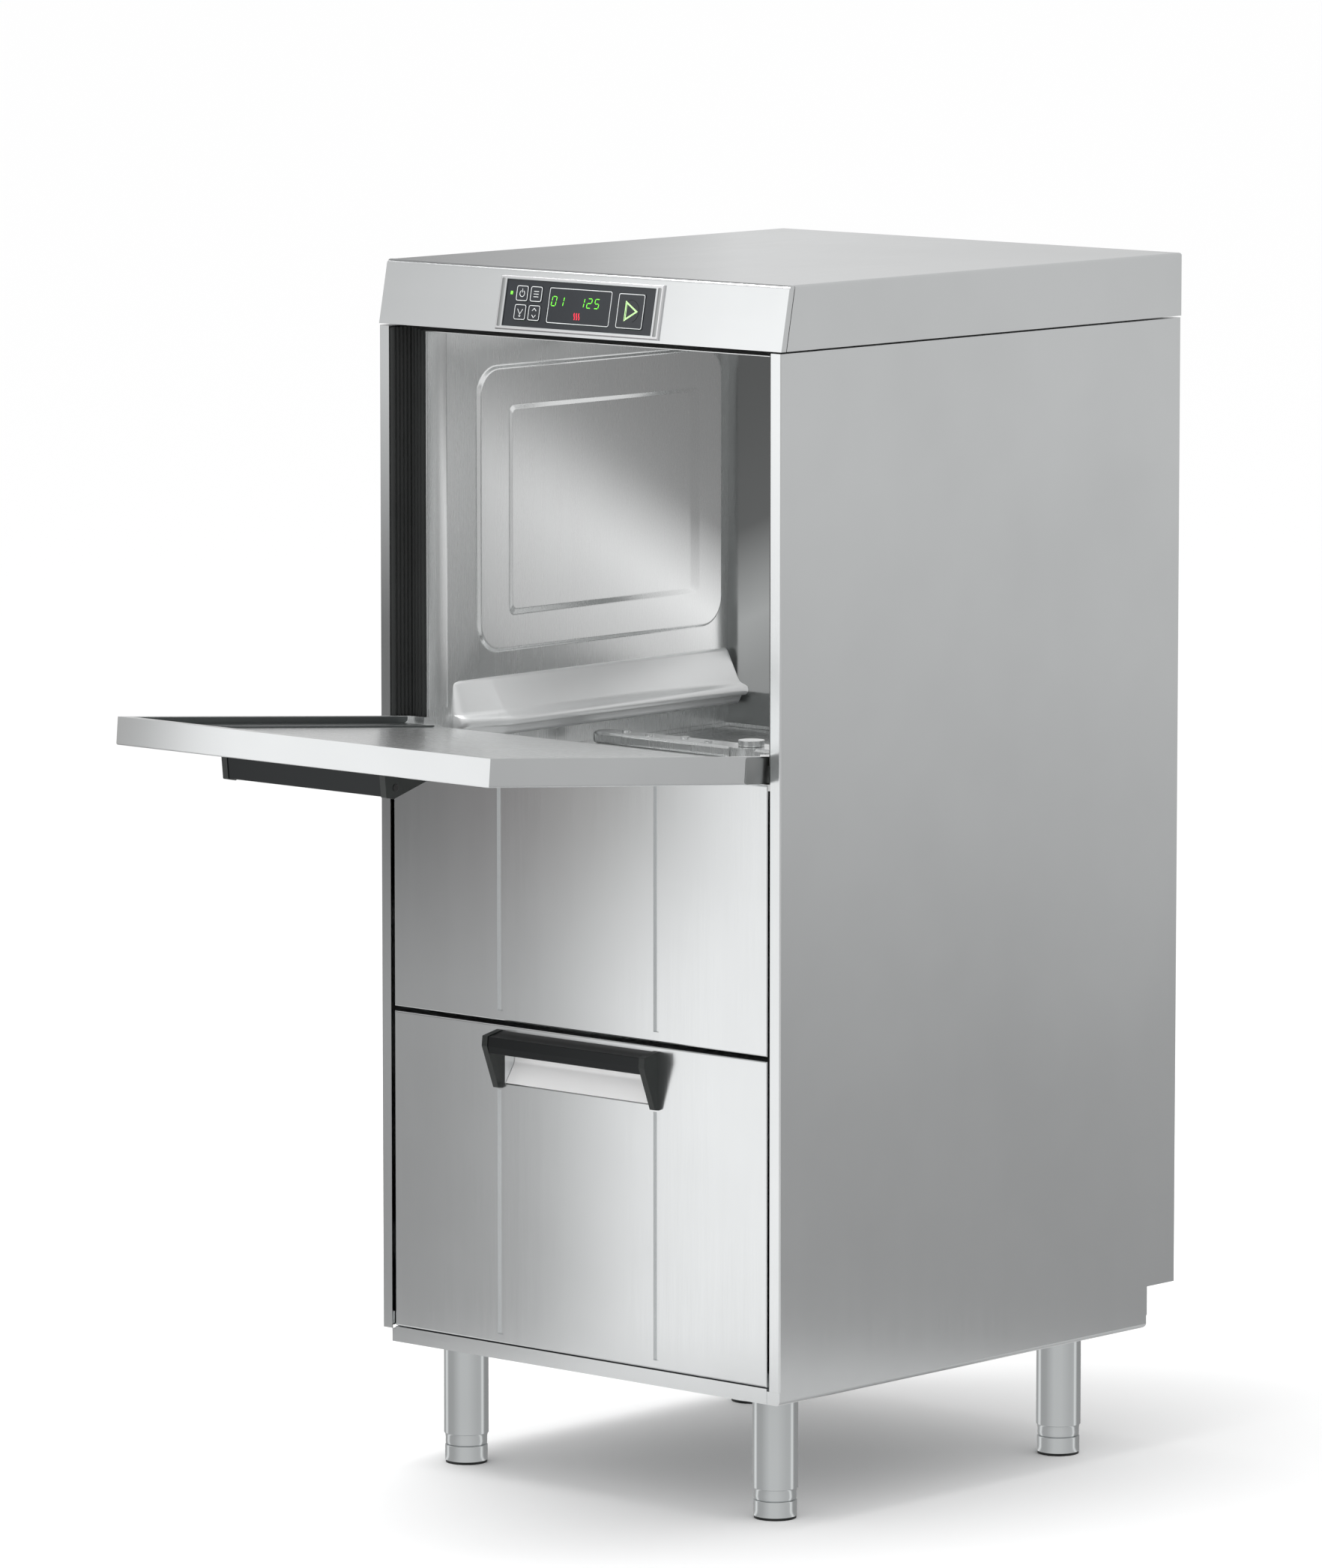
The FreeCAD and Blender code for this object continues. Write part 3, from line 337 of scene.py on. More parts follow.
panel_steel = steel("panel_steel", PANEL_TONE, 0.2, Z)
panel_across = steel("panel_steel_across", PANEL_TONE, 0.2, X)
panel_along = steel("panel_steel_along", PANEL_TONE, 0.22, Y)
liner_steel = steel("liner_steel", LINER_TONE, 0.27, Z, 0.004, brushed=0.3)
# Brighter, half-metallic copy of the liner steel for the rack rails: painted highlight, so that their slopes
# read lit.
rail_painted_highlight_steel = steel("rail_painted_highlight_steel", (0.93, 0.94, 0.94), 0.38, Y, 0.005, metallic=0.55, brushed=0.4)
# Darker grey copy of the steel: painted shade, on the chamber's back wall, in the bezel's end channels and
# over the door's hinge end.
painted_shade_grey_steel = steel("painted_shade_grey_steel", (0.36, 0.37, 0.37), 0.34, Z)
# Near-black copy of the steel: painted shade along the door liner's folds, and painted dark reflection on its
# dish floor.
painted_shade_black_steel = steel("painted_shade_black_steel", (0.13, 0.14, 0.14), 0.3, X)
# Near-white, half-matt copy of the steel for the finger pocket: painted highlight in place of the pocket's
# bright reflection.
pocket_painted_highlight_steel = steel("pocket_painted_highlight_steel", (0.97, 0.97, 0.97), 0.5, X, metallic=0.25)
leg_steel = steel("leg_steel", (0.74, 0.765, 0.77), 0.17, Z)
bezel_metal = steel("bezel_metal", (0.80, 0.80, 0.81), 0.24, X)
zinc_steel = steel("zinc_steel", (0.62, 0.63, 0.62), 0.34, Y)
brass = steel("brass", (0.72, 0.55, 0.28), 0.26, X)
black_glass = gloss("black_glass", (0.012, 0.015, 0.019), 0.1)
display_glass = gloss("display", (0.010, 0.013, 0.017), 0.1)
key_gloss = gloss("key", (0.013, 0.016, 0.020), 0.12)
handle_plastic = moulded("handle_plastic", (0.010, 0.013, 0.012), 0.32)
handle_metal = steel("handle_metal", (0.035, 0.037, 0.038), 0.33, X)
rubber = moulded("rubber", (0.012, 0.0135, 0.013), 0.5, 1800, 0.5, 0.1, 0.35)
black_plastic = moulded("black_plastic", (0.012, 0.012, 0.012), 0.42)
bottle_plastic = moulded("bottle_plastic", (0.72, 0.72, 0.68), 0.38, 900, 0.1)
motor_paint = moulded("motor_paint", (0.16, 0.18, 0.2), 0.4, 1300, 0.3)
circuit = moulded("circuit", (0.02, 0.14, 0.05), 0.35, 700, 0.4)
print_white = moulded("print_white", (0.78, 0.8, 0.8), 0.5, 2400, 0.1)
lamp_green = lit("lamp_green", (0.16, 0.85, 0.04), 1.1)
lamp_pale = lit("lamp_pale", (0.5, 0.8, 0.34), 0.7)
lamp_red = lit("lamp_red", (0.85, 0.02, 0.05), 0.8)

SLOTS = {
    "panel_steel": panel_steel, "liner_steel": liner_steel, "leg_steel": leg_steel,
    "bezel_metal": bezel_metal, "zinc_steel": zinc_steel, "brass": brass,
    "black_glass": black_glass, "display": display_glass, "key": key_gloss,
    "handle_plastic": handle_plastic, "handle_metal": handle_metal, "rubber": rubber,
    "black_plastic": black_plastic, "bottle_plastic": bottle_plastic, "motor_paint": motor_paint,
    "circuit": circuit,
}
# The chamber's back wall takes the darker grey steel as painted shade; the other entries only turn the grain.
OWN_MATERIAL = {
    "chamber_back_wall": painted_shade_grey_steel, "lid": panel_along, "front_fascia": panel_across,
    "door_skin": panel_across, "base_tray": panel_across,
}


def dress_nodes():
    """Gives each CAD node its own material, or the one of its slot in the record."""
    for part in frame["record"]["subparts"]:
        node = NODES[part["node"]]
        material = OWN_MATERIAL.get(part["node"], SLOTS[part["material_slot"]])
        node.data.materials.clear()
        node.data.materials.append(material)


dress_nodes()


# ---- wash chamber ---------------------------------------------------------------------------

# The pressed panel's distances from the wall's edges; each step is (distance inwards, rise).
PRESS_FRONT = 0.08
PRESS_BACK = 0.013
PRESS_FOOT = 0.1157
PRESS_TOP = 0.0481
PRESS_ROUND = 0.034
PRESS_STEPS = (
    (-0.0014, 0.0), (0.0, 0.0002), (0.0009, 0.0009), (0.0024, 0.0031), (0.0034, PRESS_IN), (0.0048, PRESS_IN))
# The flat part's distances from the pressed panel's front, back, foot and top, and the widths of its slopes.
FLAT_INSETS = (0.051, 0.042, 0.041, 0.046)
FLAT_SLOPES = (0.002, 0.018, 0.0065, 0.0045)
FLAT_STEPS = ((0.0, 0.0), (0.1, 0.0003), (0.9, 0.0023), (1.0, 0.0026), (1.15, 0.0026))


def inset_by(span, left, right, foot, top):
    return (span[0] + left, span[1] - right, span[2] + foot, span[3] - top)


def formed_wall(name, side, node):
    """Side wall of the chamber: a raised panel with soft edges, and a flatter one with wide slopes on it."""
    inner = WALL_IN * -side
    whole = (WALL_START, WALL_END, WALL_FOOT, WALL_TOP)
    press = inset_by(whole, PRESS_FRONT, PRESS_BACK, PRESS_FOOT, PRESS_TOP)
    flat = inset_by(press, *FLAT_INSETS)

    def ring(span, radius, rise):
        return [(inner - side * rise, y, z) for y, z in rounded(*span, radius)]

    face = [ring(whole, 0.0005, 0)]
    for inset, rise in PRESS_STEPS:
        face.append(ring(inset_by(press, inset, inset, inset, inset), PRESS_ROUND - inset, rise))
    margin = -0.0012
    face.append(ring(inset_by(flat, margin, margin, margin, margin), 0.009, PRESS_IN))
    for part, lift in FLAT_STEPS:
        slopes = [part * slope for slope in FLAT_SLOPES]
        face.append(ring(inset_by(flat, *slopes), 0.007, PRESS_IN + lift))
    behind = [[(x + side * SHEET, y, z) for x, y, z in points] for points in face]
    wall = Shape()
    loops = [wall.ring(points) for points in face]
    backs = [wall.ring(points) for points in behind]
    for one, two in zip(loops, loops[1:]):
        wall.strip(one, two)
    for one, two in zip(backs, backs[1:]):
        wall.strip(two, one)
    wall.strip(backs[0], loops[0])
    wall.faces.append(tuple(loops[-1]))
    wall.faces.append(tuple(reversed(backs[-1])))
    finished(name, wall, liner_steel, "cabinet", (node,), sharp=60)


def wall_band(name, side):
    """Strip along the front of a side wall, where the wall is folded to the door frame."""
    inner = WALL_IN * -side
    deep = 0.032
    thick = 0.0014
    edge = 0.0009
    profile = [(0, 0), (0, edge), (0.0012, thick), (deep - 0.003, thick), (deep - 0.001, edge), (deep, 0)]
    outline = [(inner - side * rise, WALL_START + along) for along, rise in profile]
    strip = prism(Shape(), outline, Z, WALL_FOOT + 0.06, WALL_TOP - 0.001)
    finished(name, strip, liner_steel, "cabinet")


# Section of the rack ledge: (distance from the wall, height against its top). The slope comes first.
RAIL_PROFILE = (
    (0.0, 0.0), (0.003, -0.0006), (0.0058, -0.003), (0.0235, -0.034), (0.0262, -0.0375), (0.0300, -0.0393),
    (0.0350, -0.0405), (0.0385, -0.0425), (0.0398, -0.0460), (0.0390, -0.0498), (0.0360, -0.0520),
    (0.0322, -0.0515), (0.0290, -0.0535), (0.0262, -0.0590), (0.0225, -0.0635), (0.0, -0.066),
)
SLOPE_POINTS = 6
LIP_LEVEL = 0.033
RAIL_TAPER = (
    (0.0, 0.0, 0.10, 0.80), (0.0008, 0.14, 0.22, 0.90), (0.0025, 0.26, 0.32, 0.95),
    (0.0055, 0.37, 0.42, 0.98), (0.010, 0.44, 0.48, 1.0), (0.015, 0.47, 0.50, 1.0),
    (0.056, 0.97, 0.98, 1.0), (0.062, 1.0, 1.0, 1.0))
RAIL_TAIL = ((0.004, 1.0), (0.0012, 0.97), (0.0, 0.92))


def formed_rail(name, side):
    """Pressed rack ledge: a slope, a rolled lip, and a tapered, rounded front end, in a brighter copy of the
    liner steel whose extra brightness is a painted highlight.

    Each row of RAIL_TAPER is the distance from the front end, and there the shares of the slope's reach,
    the lip's reach and the height."""
    root = WALL_IN * -side
    start = low(name, Y)
    end = high(name, Y)
    top = high(name, Z)
    rings = []
    for along, slope_out, lip_out, tall in RAIL_TAPER:
        ring = []
        for index, (out, down) in enumerate(RAIL_PROFILE):
            reach = out * (slope_out if index < SLOPE_POINTS else lip_out)
            ring.append((root - side * reach, start + along, top - LIP_LEVEL + (down + LIP_LEVEL) * tall))
        rings.append(ring)
    for back_off, shrink in RAIL_TAIL:
        rings.append([(root - side * out * shrink, end - back_off, top + down) for out, down in RAIL_PROFILE])
    rail = Shape().loft(rings)
    finished(name + "_formed", rail, rail_painted_highlight_steel, "cabinet", (name,), sharp=50)


def ribbed_gasket():
    """Door seal with lengthwise ribs, carried round the two sides and the top of the opening."""
    inner = -WALL_IN + GASKET_GAP
    wide = 0.0205
    foot = low("door_gasket", Z)
    face = high("door_gasket", Y)
    thick = face - low("door_gasket", Y)
    ribs = 4
    steps = ribs * 8
    profile = [(0, 0)]
    for i in range(steps + 1):
        part = i / steps
        profile.append((wide * part, thick * (0.45 + 0.5 * abs(sin(pi * ribs * part)))))
    profile.append((wide, 0))
    narrowed = GASKET_TOP / wide
    crown = OPENING_TOP + GASKET_GAP
    rings = []
    for side, level, rise in ((-1, foot, 0), (-1, crown, narrowed), (1, crown, narrowed), (1, foot, 0)):
        rings.append([(side * (inner + out), face - proud, level + out * rise) for out, proud in profile])
    seal = Shape().loft(rings)
    finished("gasket_ribbed", seal, rubber, "cabinet", ("door_gasket",), sharp=70)


def side_seal(name, side):
    """Black ribbed strip on the inside of a side panel's return, beside the door."""
    outer = HALF - 0.0152
    start = FRONT + 0.0016
    depth = 0.0315
    flat = 0.0016
    proud = 0.0032
    ribs = 5
    steps = ribs * 8
    outline = [(side * outer, start)]
    for i in range(steps + 1):
        part = i / steps
        rise = flat + proud * abs(sin(pi * ribs * part))
        outline.append((side * (outer - rise), start + depth * part))
    outline.append((side * outer, start + depth))
    strip = prism(Shape(), outline, Z, HINGE.z + 0.008, LID_FOOT - 0.004)
    finished(name, strip, rubber, "cabinet", sharp=70)


formed_wall("left_wall_formed", -1, "chamber_left_wall")
formed_wall("right_wall_formed", 1, "chamber_right_wall")
wall_band("left_wall_fold", -1)
wall_band("right_wall_fold", 1)
formed_rail("rack_rail_left", -1)
formed_rail("rack_rail_right", 1)
ribbed_gasket()
side_seal("left_side_seal", -1)
side_seal("right_side_seal", 1)


# ---- controls -------------------------------------------------------------------------------

# Distances across the fascia's face and behind it, in metres.
BEZEL_MID = 0.0335
GLASS_FACE = -0.0018
KEY_FACE = -0.0026
DISPLAY_FACE = -0.0015
BEZEL_FACE = -0.003
CHANNEL_FACE = -0.00316
INK = 0.00012
LINE = 0.0006
CORNER = 0.0022
# Each key's left edge, foot and width.
KEYS = {
    "power": (-0.0955, 0.002, 0.018),
    "program": (-0.0745, 0.002, 0.018),
    "drain": (-0.0955, -0.019, 0.018),
    "level": (-0.0745, -0.019, 0.018),
    "start": (0.057, -0.0205, 0.0395),
}


def fascia_point(u, w, v):
    """Point at u across, w behind and v up the leaning fascia."""
    return (u, FRONT + w * cos(LEAN) + v * sin(LEAN), LID_FOOT - w * sin(LEAN) + v * cos(LEAN))


def ribbon(shape, points, width, face, closed=False):
    """Adds a printed line along points on the fascia, mitred at its corners."""
    count = len(points)
    sides = ([], [])
    for i, (u, v) in enumerate(points):
        before = points[i - 1] if i or closed else points[i]
        after = points[(i + 1) % count] if i < count - 1 or closed else points[i]
        one = Vector((u - before[0], v - before[1])).normalized()
        two = Vector((after[0] - u, after[1] - v)).normalized()
        middle = (one + two).normalized()
        normal = Vector((-middle.y, middle.x))
        straight = one if one.length else two
        reach = width / 2 / max(0.5, abs(normal.dot(Vector((-straight.y, straight.x)))))
        for sign, side in zip((1, -1), sides):
            side.append((u + sign * normal.x * reach, v + sign * normal.y * reach))
    rings = []
    for side, level in ((0, face), (0, face - INK), (1, face - INK), (1, face)):
        rings.append(shape.ring([fascia_point(u, level, BEZEL_MID + v) for u, v in sides[side]]))
    for one, two in zip(rings, rings[1:] + rings[:1]):
        shape.strip(one, two, closed)
    if not closed:
        shape.faces.append(tuple(ring[0] for ring in rings))
        shape.faces.append(tuple(ring[-1] for ring in reversed(rings)))


def arc(centre, radius, first, last, steps=20):
    """Points of an arc between two angles, in degrees."""
    turns = [radians(first + (last - first) * i / steps) for i in range(steps + 1)]
    return [(centre[0] + radius * cos(turn), centre[1] + radius * sin(turn)) for turn in turns]


def key_icon(shape, name, middle):
    """Simple sign on a key: power ring, list, glass with a drop, or up and down arrows."""
    u, v = middle

    def line(*points):
        ribbon(shape, [(u + across, v + up) for across, up in points], LINE, KEY_FACE)

    if name == "power":
        line(*arc((0, -0.0003), 0.0035, 120, 420))
        line((0, 0.0008), (0, 0.0052))
    if name == "program":
        for step in (-0.003, 0.0, 0.003):
            line((-0.0036, step), (0.0036, step))
    if name == "drain":
        line((-0.0038, 0.0034), (-0.0008, -0.0014), (0.0008, -0.0014), (0.0038, 0.0034))
        line((0, -0.0016), (0, -0.0032))
        line((-0.0014, -0.0036), (0, -0.0052), (0.0014, -0.0036))
    if name == "level":
        for sign in (-1, 1):
            line((-0.003, sign * 0.0022), (0, sign * 0.0052), (0.003, sign * 0.0022))


def start_sign(middle, body):
    """Double triangle on the start key, with a faint arc round it."""
    sign = Shape()
    for size in (0.0108, 0.0086):
        back, tip = middle[0] - size * 0.72, middle[0] + size * 0.95
        corners = [(back, middle[1] + size), (back, middle[1] - size), (tip, middle[1])]
        ribbon(sign, corners, 0.0007, KEY_FACE, True)
    finished("key_start_sign", sign, lamp_pale, body, sharp=30)
    halo = Shape()
    ribbon(halo, arc(middle, 0.0125, -70, 110, 30), 0.0005, KEY_FACE)
    finished("key_start_arc", halo, handle_metal, body, sharp=30)


def key_prints():
    edge = 0.0009
    for name, (left, foot, wide) in KEYS.items():
        body = f"key_{name}_cap"
        outline = rounded(left + edge, left + wide - edge, foot + edge, foot + wide - edge, CORNER)
        middle = (left + wide / 2, foot + wide / 2)
        ink = Shape()
        ribbon(ink, outline, LINE, KEY_FACE, True)
        key_icon(ink, name, middle)
        finished(f"key_{name}_print", ink, print_white, body, sharp=30)
        if name == "start":
            start_sign(middle, body)


SEGMENTS = {
    "a": ((0, 2), (1, 2)), "b": ((1, 2), (1, 1)), "c": ((1, 1), (1, 0)), "d": ((0, 0), (1, 0)),
    "e": ((0, 1), (0, 0)), "f": ((0, 2), (0, 1)), "g": ((0, 1), (1, 1)),
}
DIGITS = {"0": "abcdef", "1": "bc", "2": "abged", "5": "afgcd"}
DIGIT_WIDE = 0.0062
DIGIT_TALL = 0.0052
DIGIT_SLANT = 0.16
DIGIT_FOOT = -0.0004
SEGMENT_TRIM = 0.12
FIGURES = (("0", -0.0425), ("1", -0.0315), ("1", -0.0008), ("2", 0.0102), ("5", 0.0212))


def digit(shape, which, left):
    """Seven-segment figure on the display."""
    for name in DIGITS[which]:
        first, second = SEGMENTS[name]
        ends = []
        for near, far in ((first, second), (second, first)):
            u = near[0] + (far[0] - near[0]) * SEGMENT_TRIM
            v = near[1] + (far[1] - near[1]) * SEGMENT_TRIM
            ends.append((left + u * DIGIT_WIDE + v * DIGIT_TALL * DIGIT_SLANT, DIGIT_FOOT + v * DIGIT_TALL))
        ribbon(shape, ends, 0.0008, DISPLAY_FACE)


def display_prints():
    """The display's outline, its green figures and red heating sign, and the lamp beside the keys."""
    outline = Shape()
    ribbon(outline, rounded(-0.0463, 0.0458, -0.0193, 0.0193, CORNER), LINE, DISPLAY_FACE, True)
    finished("display_outline", outline, print_white, "cabinet", sharp=30)
    figures = Shape()
    for which, left in FIGURES:
        digit(figures, which, left)
    finished("display_figures", figures, lamp_green, "cabinet", sharp=30)
    warmth = Shape()
    steps = 12
    for wave in range(3):
        left = -0.0058 + wave * 0.0034
        points = []
        for i in range(steps + 1):
            part = i / steps
            points.append((left + 0.0007 * sin(2 * pi * part), -0.0145 + 0.0075 * part))
        ribbon(warmth, points, 0.0012, DISPLAY_FACE)
    finished("display_warmth", warmth, lamp_red, "cabinet", sharp=30)
    dot = Shape()
    ribbon(dot, [(-0.1045, 0.011), (-0.1015, 0.011)], 0.0036, GLASS_FACE)
    finished("power_lamp", dot, lamp_green, "cabinet", sharp=30)


def bezel_line():
    """Thin polished line round the glass."""
    line = Shape()
    ribbon(line, rounded(-0.1116, 0.1116, -0.0268, 0.0268, 0.0012), 0.0011, BEZEL_FACE, True)
    finished("bezel_line", line, leg_steel, "cabinet", sharp=30)


def bezel_channels():
    """Channels at the two ends of the bezel, in the darker grey steel: painted shade in their recess."""
    for name, side in SIDES:
        rings = []
        for v, inset in ((-0.027, 0.0008), (-0.0262, 0.0), (0.0262, 0.0), (0.027, 0.0008)):
            near, far = 0.1135 + inset, 0.1188 - inset
            slope = 0.0004
            profile = (
                (near, BEZEL_FACE), (near + slope, CHANNEL_FACE),
                (far - slope, CHANNEL_FACE), (far, BEZEL_FACE))
            rings.append([fascia_point(side * u, w, BEZEL_MID + v) for u, w in profile])
        channel = Shape().loft(rings)
        finished(f"bezel_channel_{name}", channel, painted_shade_grey_steel, "cabinet", sharp=30)


key_prints()
display_prints()
bezel_line()
bezel_channels()


# ---- door, drawer front and legs ------------------------------------------------------------

def door_point(x, y, z):
    """Point of the open door: y from its outer to its inner face, z from the hinge to the free edge."""
    tilt = pi / 2 - DOOR_RISE
    return (x, HINGE.y + y * cos(tilt) - z * sin(tilt), HINGE.z + y * sin(tilt) + z * cos(tilt))


# Depths through the door, from its hinge axis, and its reach to the free edge.
DOOR_SKIN = -0.0144
DOOR_BACK = 0.0166
DOOR_REACH = 0.4555
DISH = 0.008
PLATE = 0.0025
RIM_WIDE = 0.006
PLATE_INSET = 0.035
FOLD = 0.0007
CAP_OUT = 0.122


def fold_shade_strip(name, side, out, top, deep, foot):
    """Dark strip along a fold on one side of the door's inner face: painted shade, an overlay in the
    near-black steel.
    """
    near = side * out
    far = near - side * FOLD
    end = DOOR_REACH - 0.0185 - (DOOR_HALF - RIM_WIDE - out)
    rings = []
    for along, trim in ((foot, 0.6), (foot + 0.004, 1.0), (end, 1.0)):
        low_side = top - deep * trim
        profile = ((near, top), (far, top - 0.0003), (far, low_side), (near, low_side))
        rings.append([door_point(x, y, along) for x, y in profile])
    finished(name, Shape().loft(rings), painted_shade_black_steel, "door", sharp=30)


def dish_floor_shade(name, side):
    """Thin dark overlay on the dish's floor, between the rim and the flat plate, mitred at the free edge:
    painted shade standing in for the dark reflection of the gasket.
    """
    outer = side * (DOOR_HALF - RIM_WIDE - 0.0008)
    inner = side * (DOOR_HALF - PLATE_INSET + 0.0004)
    floor_level = DOOR_BACK - DISH
    face, under = floor_level + 0.0003, floor_level - 0.0002
    rings = []
    for along, mitre in ((0.001, 0.0), (DOOR_REACH - 0.048, 0.0), (DOOR_REACH - 0.020, 0.0275)):
        edge = inner + side * mitre
        profile = ((outer, face), (edge, face), (edge, under), (outer, under))
        rings.append([door_point(x, y, along) for x, y in profile])
    finished(name, Shape().loft(rings), painted_shade_black_steel, "door", sharp=30)


def dish_shade_strips():
    """Dark strips of painted shade at the folds on the inside of the liner's rim and round its flat plate,
    and over the floor between them.
    """
    folds = (
        ("rim", DOOR_HALF - RIM_WIDE, DOOR_BACK - 0.0004, DISH - 0.0006, 0.002),
        ("plate", DOOR_HALF - PLATE_INSET, DOOR_BACK - DISH - 0.0002, PLATE - 0.0003, -0.012))
    for name, out, top, deep, foot in folds:
        for end, side in SIDES:
            fold_shade_strip(f"door_{name}_edge_{end}", side, out, top, deep, foot)
    for end, side in SIDES:
        dish_floor_shade(f"door_ledge_shade_{end}", side)


def door_end_shade(name, side):
    """Thin dark overlay over the hinge end of the door's side: painted shade standing in for the darker
    reflection on its rounded end.
    """
    rings = []
    for out, inset in ((0.0, 0.0), (0.0006, 0.0), (0.0010, 0.0006)):
        outline = rounded(*inset_by((-0.0135, 0.0158, -0.0112, 0.048), inset, inset, inset, inset), 0.003)
        rings.append([door_point(side * (DOOR_HALF + out), y, z) for y, z in outline])
    finished(name, Shape().loft(rings), painted_shade_grey_steel, "door", sharp=40)


def cap_plugs():
    """Dished plugs over the screws in the door handle's end caps."""
    middle_y = DOOR_SKIN - 0.013
    middle_z = DOOR_REACH - 0.023
    profile = ((0.0, 0.0042), (0.0006, 0.0042), (0.0009, 0.0036), (0.0004, 0.0030), (0.0004, 0.0012))
    for name, side in SIDES:
        rings = []
        for out, radius in profile:
            x = side * (CAP_OUT + out)
            rings.append([door_point(x, middle_y + y, middle_z + z) for y, z in circle(radius, 24)])
        plug = Shape().loft(rings)
        finished(f"door_cap_plug_{name}", plug, black_plastic, "door", sharp=30)


def pocket_plate():
    """Plate that lines the drawer's finger pocket: a slope, then upright behind the grip; its near-white,
    half-matt steel is a painted highlight standing in for the bright reflection in the pocket.
    """
    face = low("drawer_front", Y)
    handle_top = high("drawer_handle_caps", Z)
    foot = handle_top - 0.0613
    top = handle_top - 0.0075
    deep = 0.0156
    reach = 0.1096
    profile = (
        (0.0006, foot), (0.0008, foot + 0.0006), (0.0152, foot + 0.0222), (deep, foot + 0.025), (deep, top))
    rings = []
    for x in (-reach, reach):
        ring = [(x, face + y - 0.0002, z + 0.0002) for y, z in profile]
        ring += [(x, face + y + 0.0003, z - 0.0003) for y, z in reversed(profile)]
        rings.append(ring)
    finished("drawer_pocket_plate", Shape().loft(rings), pocket_painted_highlight_steel, "drawer", sharp=50)


# Rolled shoulder at the foot of a leg tube.
SHOULDER_FOOT = 0.0050
SHOULDER_TALL = 0.0075
SHOULDER_IN = 0.0018


def lathed_leg(corner):
    """Leg tube with its rolled lower shoulder, in place of the plain tube."""
    node = f"leg_{corner}"
    outer = half_width(node)
    foot, top = low(node, Z), high(node, Z)
    neck = outer - SHOULDER_IN
    profile = [
        (foot + 0.0004, outer - 0.0028), (foot, neck - 0.0002), (foot + 0.0004, neck),
        (foot + 0.004, neck + 0.0001)]
    steps = 8
    for step in range(steps + 1):
        turn = step / steps * pi / 2
        level = foot + SHOULDER_FOOT + SHOULDER_TALL * sin(turn)
        profile.append((level, neck + SHOULDER_IN * (1 - cos(turn))))
    profile += [(foot + 0.016, outer), (top - 0.0006, outer), (top, outer - 0.0006)]
    tube = turned_about(Shape(), Z, floor_under(node), profile, 64)
    finished(f"{node}_tube", tube, leg_steel, "cabinet", (node,), sharp=30)


def lathed_foot(corner):
    """Adjustable foot's sleeve, slightly flared down to its rubber pad."""
    pad = f"foot_pad_{corner}"
    base = high(pad, Z)
    top = low(f"leg_{corner}", Z) - 0.0003
    radius = half_width(pad)
    profile = (
        (base - 0.0001, radius - 0.001), (base + 0.0004, radius), (base + 0.004, radius + 0.0001),
        (top - 0.006, radius - 0.0009), (top - 0.0005, radius - 0.0011), (top, radius - 0.0016))
    sleeve = turned_about(Shape(), Z, floor_under(pad), profile, 64)
    finished(f"foot_{corner}_sleeve", sleeve, leg_steel, f"foot_{corner}_set", sharp=30)


dish_shade_strips()
door_end_shade("door_end_cover_left", -1)
door_end_shade("door_end_cover_right", 1)
cap_plugs()
pocket_plate()
for corner in CORNERS:
    lathed_leg(corner)
    lathed_foot(corner)


# ---- studio ---------------------------------------------------------------------------------

REFLECTED_SKY = (0.42, 0.85)
FLOOR_TONE = (0.92, 0.92, 0.92)
REFLECTED_FLOOR = (0.50, 0.50, 0.50)


def floor():
    """Plain pale floor, which is greyer in reflections so that steel reads against it."""
    size = 90
    mesh = bpy.data.meshes.new("floor")
    corners = [(-size, -size, 0), (size, -size, 0), (size, size, 0), (-size, size, 0)]
    mesh.from_pydata(corners, [], [(0, 1, 2, 3)])
    graph = Graph("floor")
    path = graph.add("ShaderNodeLightPath")
    tone = graph.add("ShaderNodeMix", data_type="RGBA")
    tone.inputs["A"].default_value = (*FLOOR_TONE, 1)
    tone.inputs["B"].default_value = (*REFLECTED_FLOOR, 1)
    graph.link(path.outputs["Is Glossy Ray"], tone.inputs["Factor"])
    graph.link(tone.outputs["Result"], graph.shader.inputs["Base Color"])
    graph.shader.inputs["Roughness"].default_value = 0.9
    graph.shader.inputs["Specular IOR Level"].default_value = 0.0
    mesh.materials.append(graph.material)
    ground = bpy.data.objects.new("floor", mesh)
    bpy.context.scene.collection.objects.link(ground)


def reflections_only(name, mesh, graph, colour):
    """Gives a stage mesh its glow, and hides it from everything but reflections."""
    glow = graph.add("ShaderNodeEmission")
    graph.link(colour, glow.inputs["Color"])
    graph.link(glow.outputs[0], graph.nodes["Material Output"].inputs["Surface"])
    mesh.materials.append(graph.material)
    board = bpy.data.objects.new(name, mesh)
    bpy.context.scene.collection.objects.link(board)
    board.visible_camera = False
    board.visible_diffuse = False
    board.visible_shadow = False
    board.visible_transmission = False


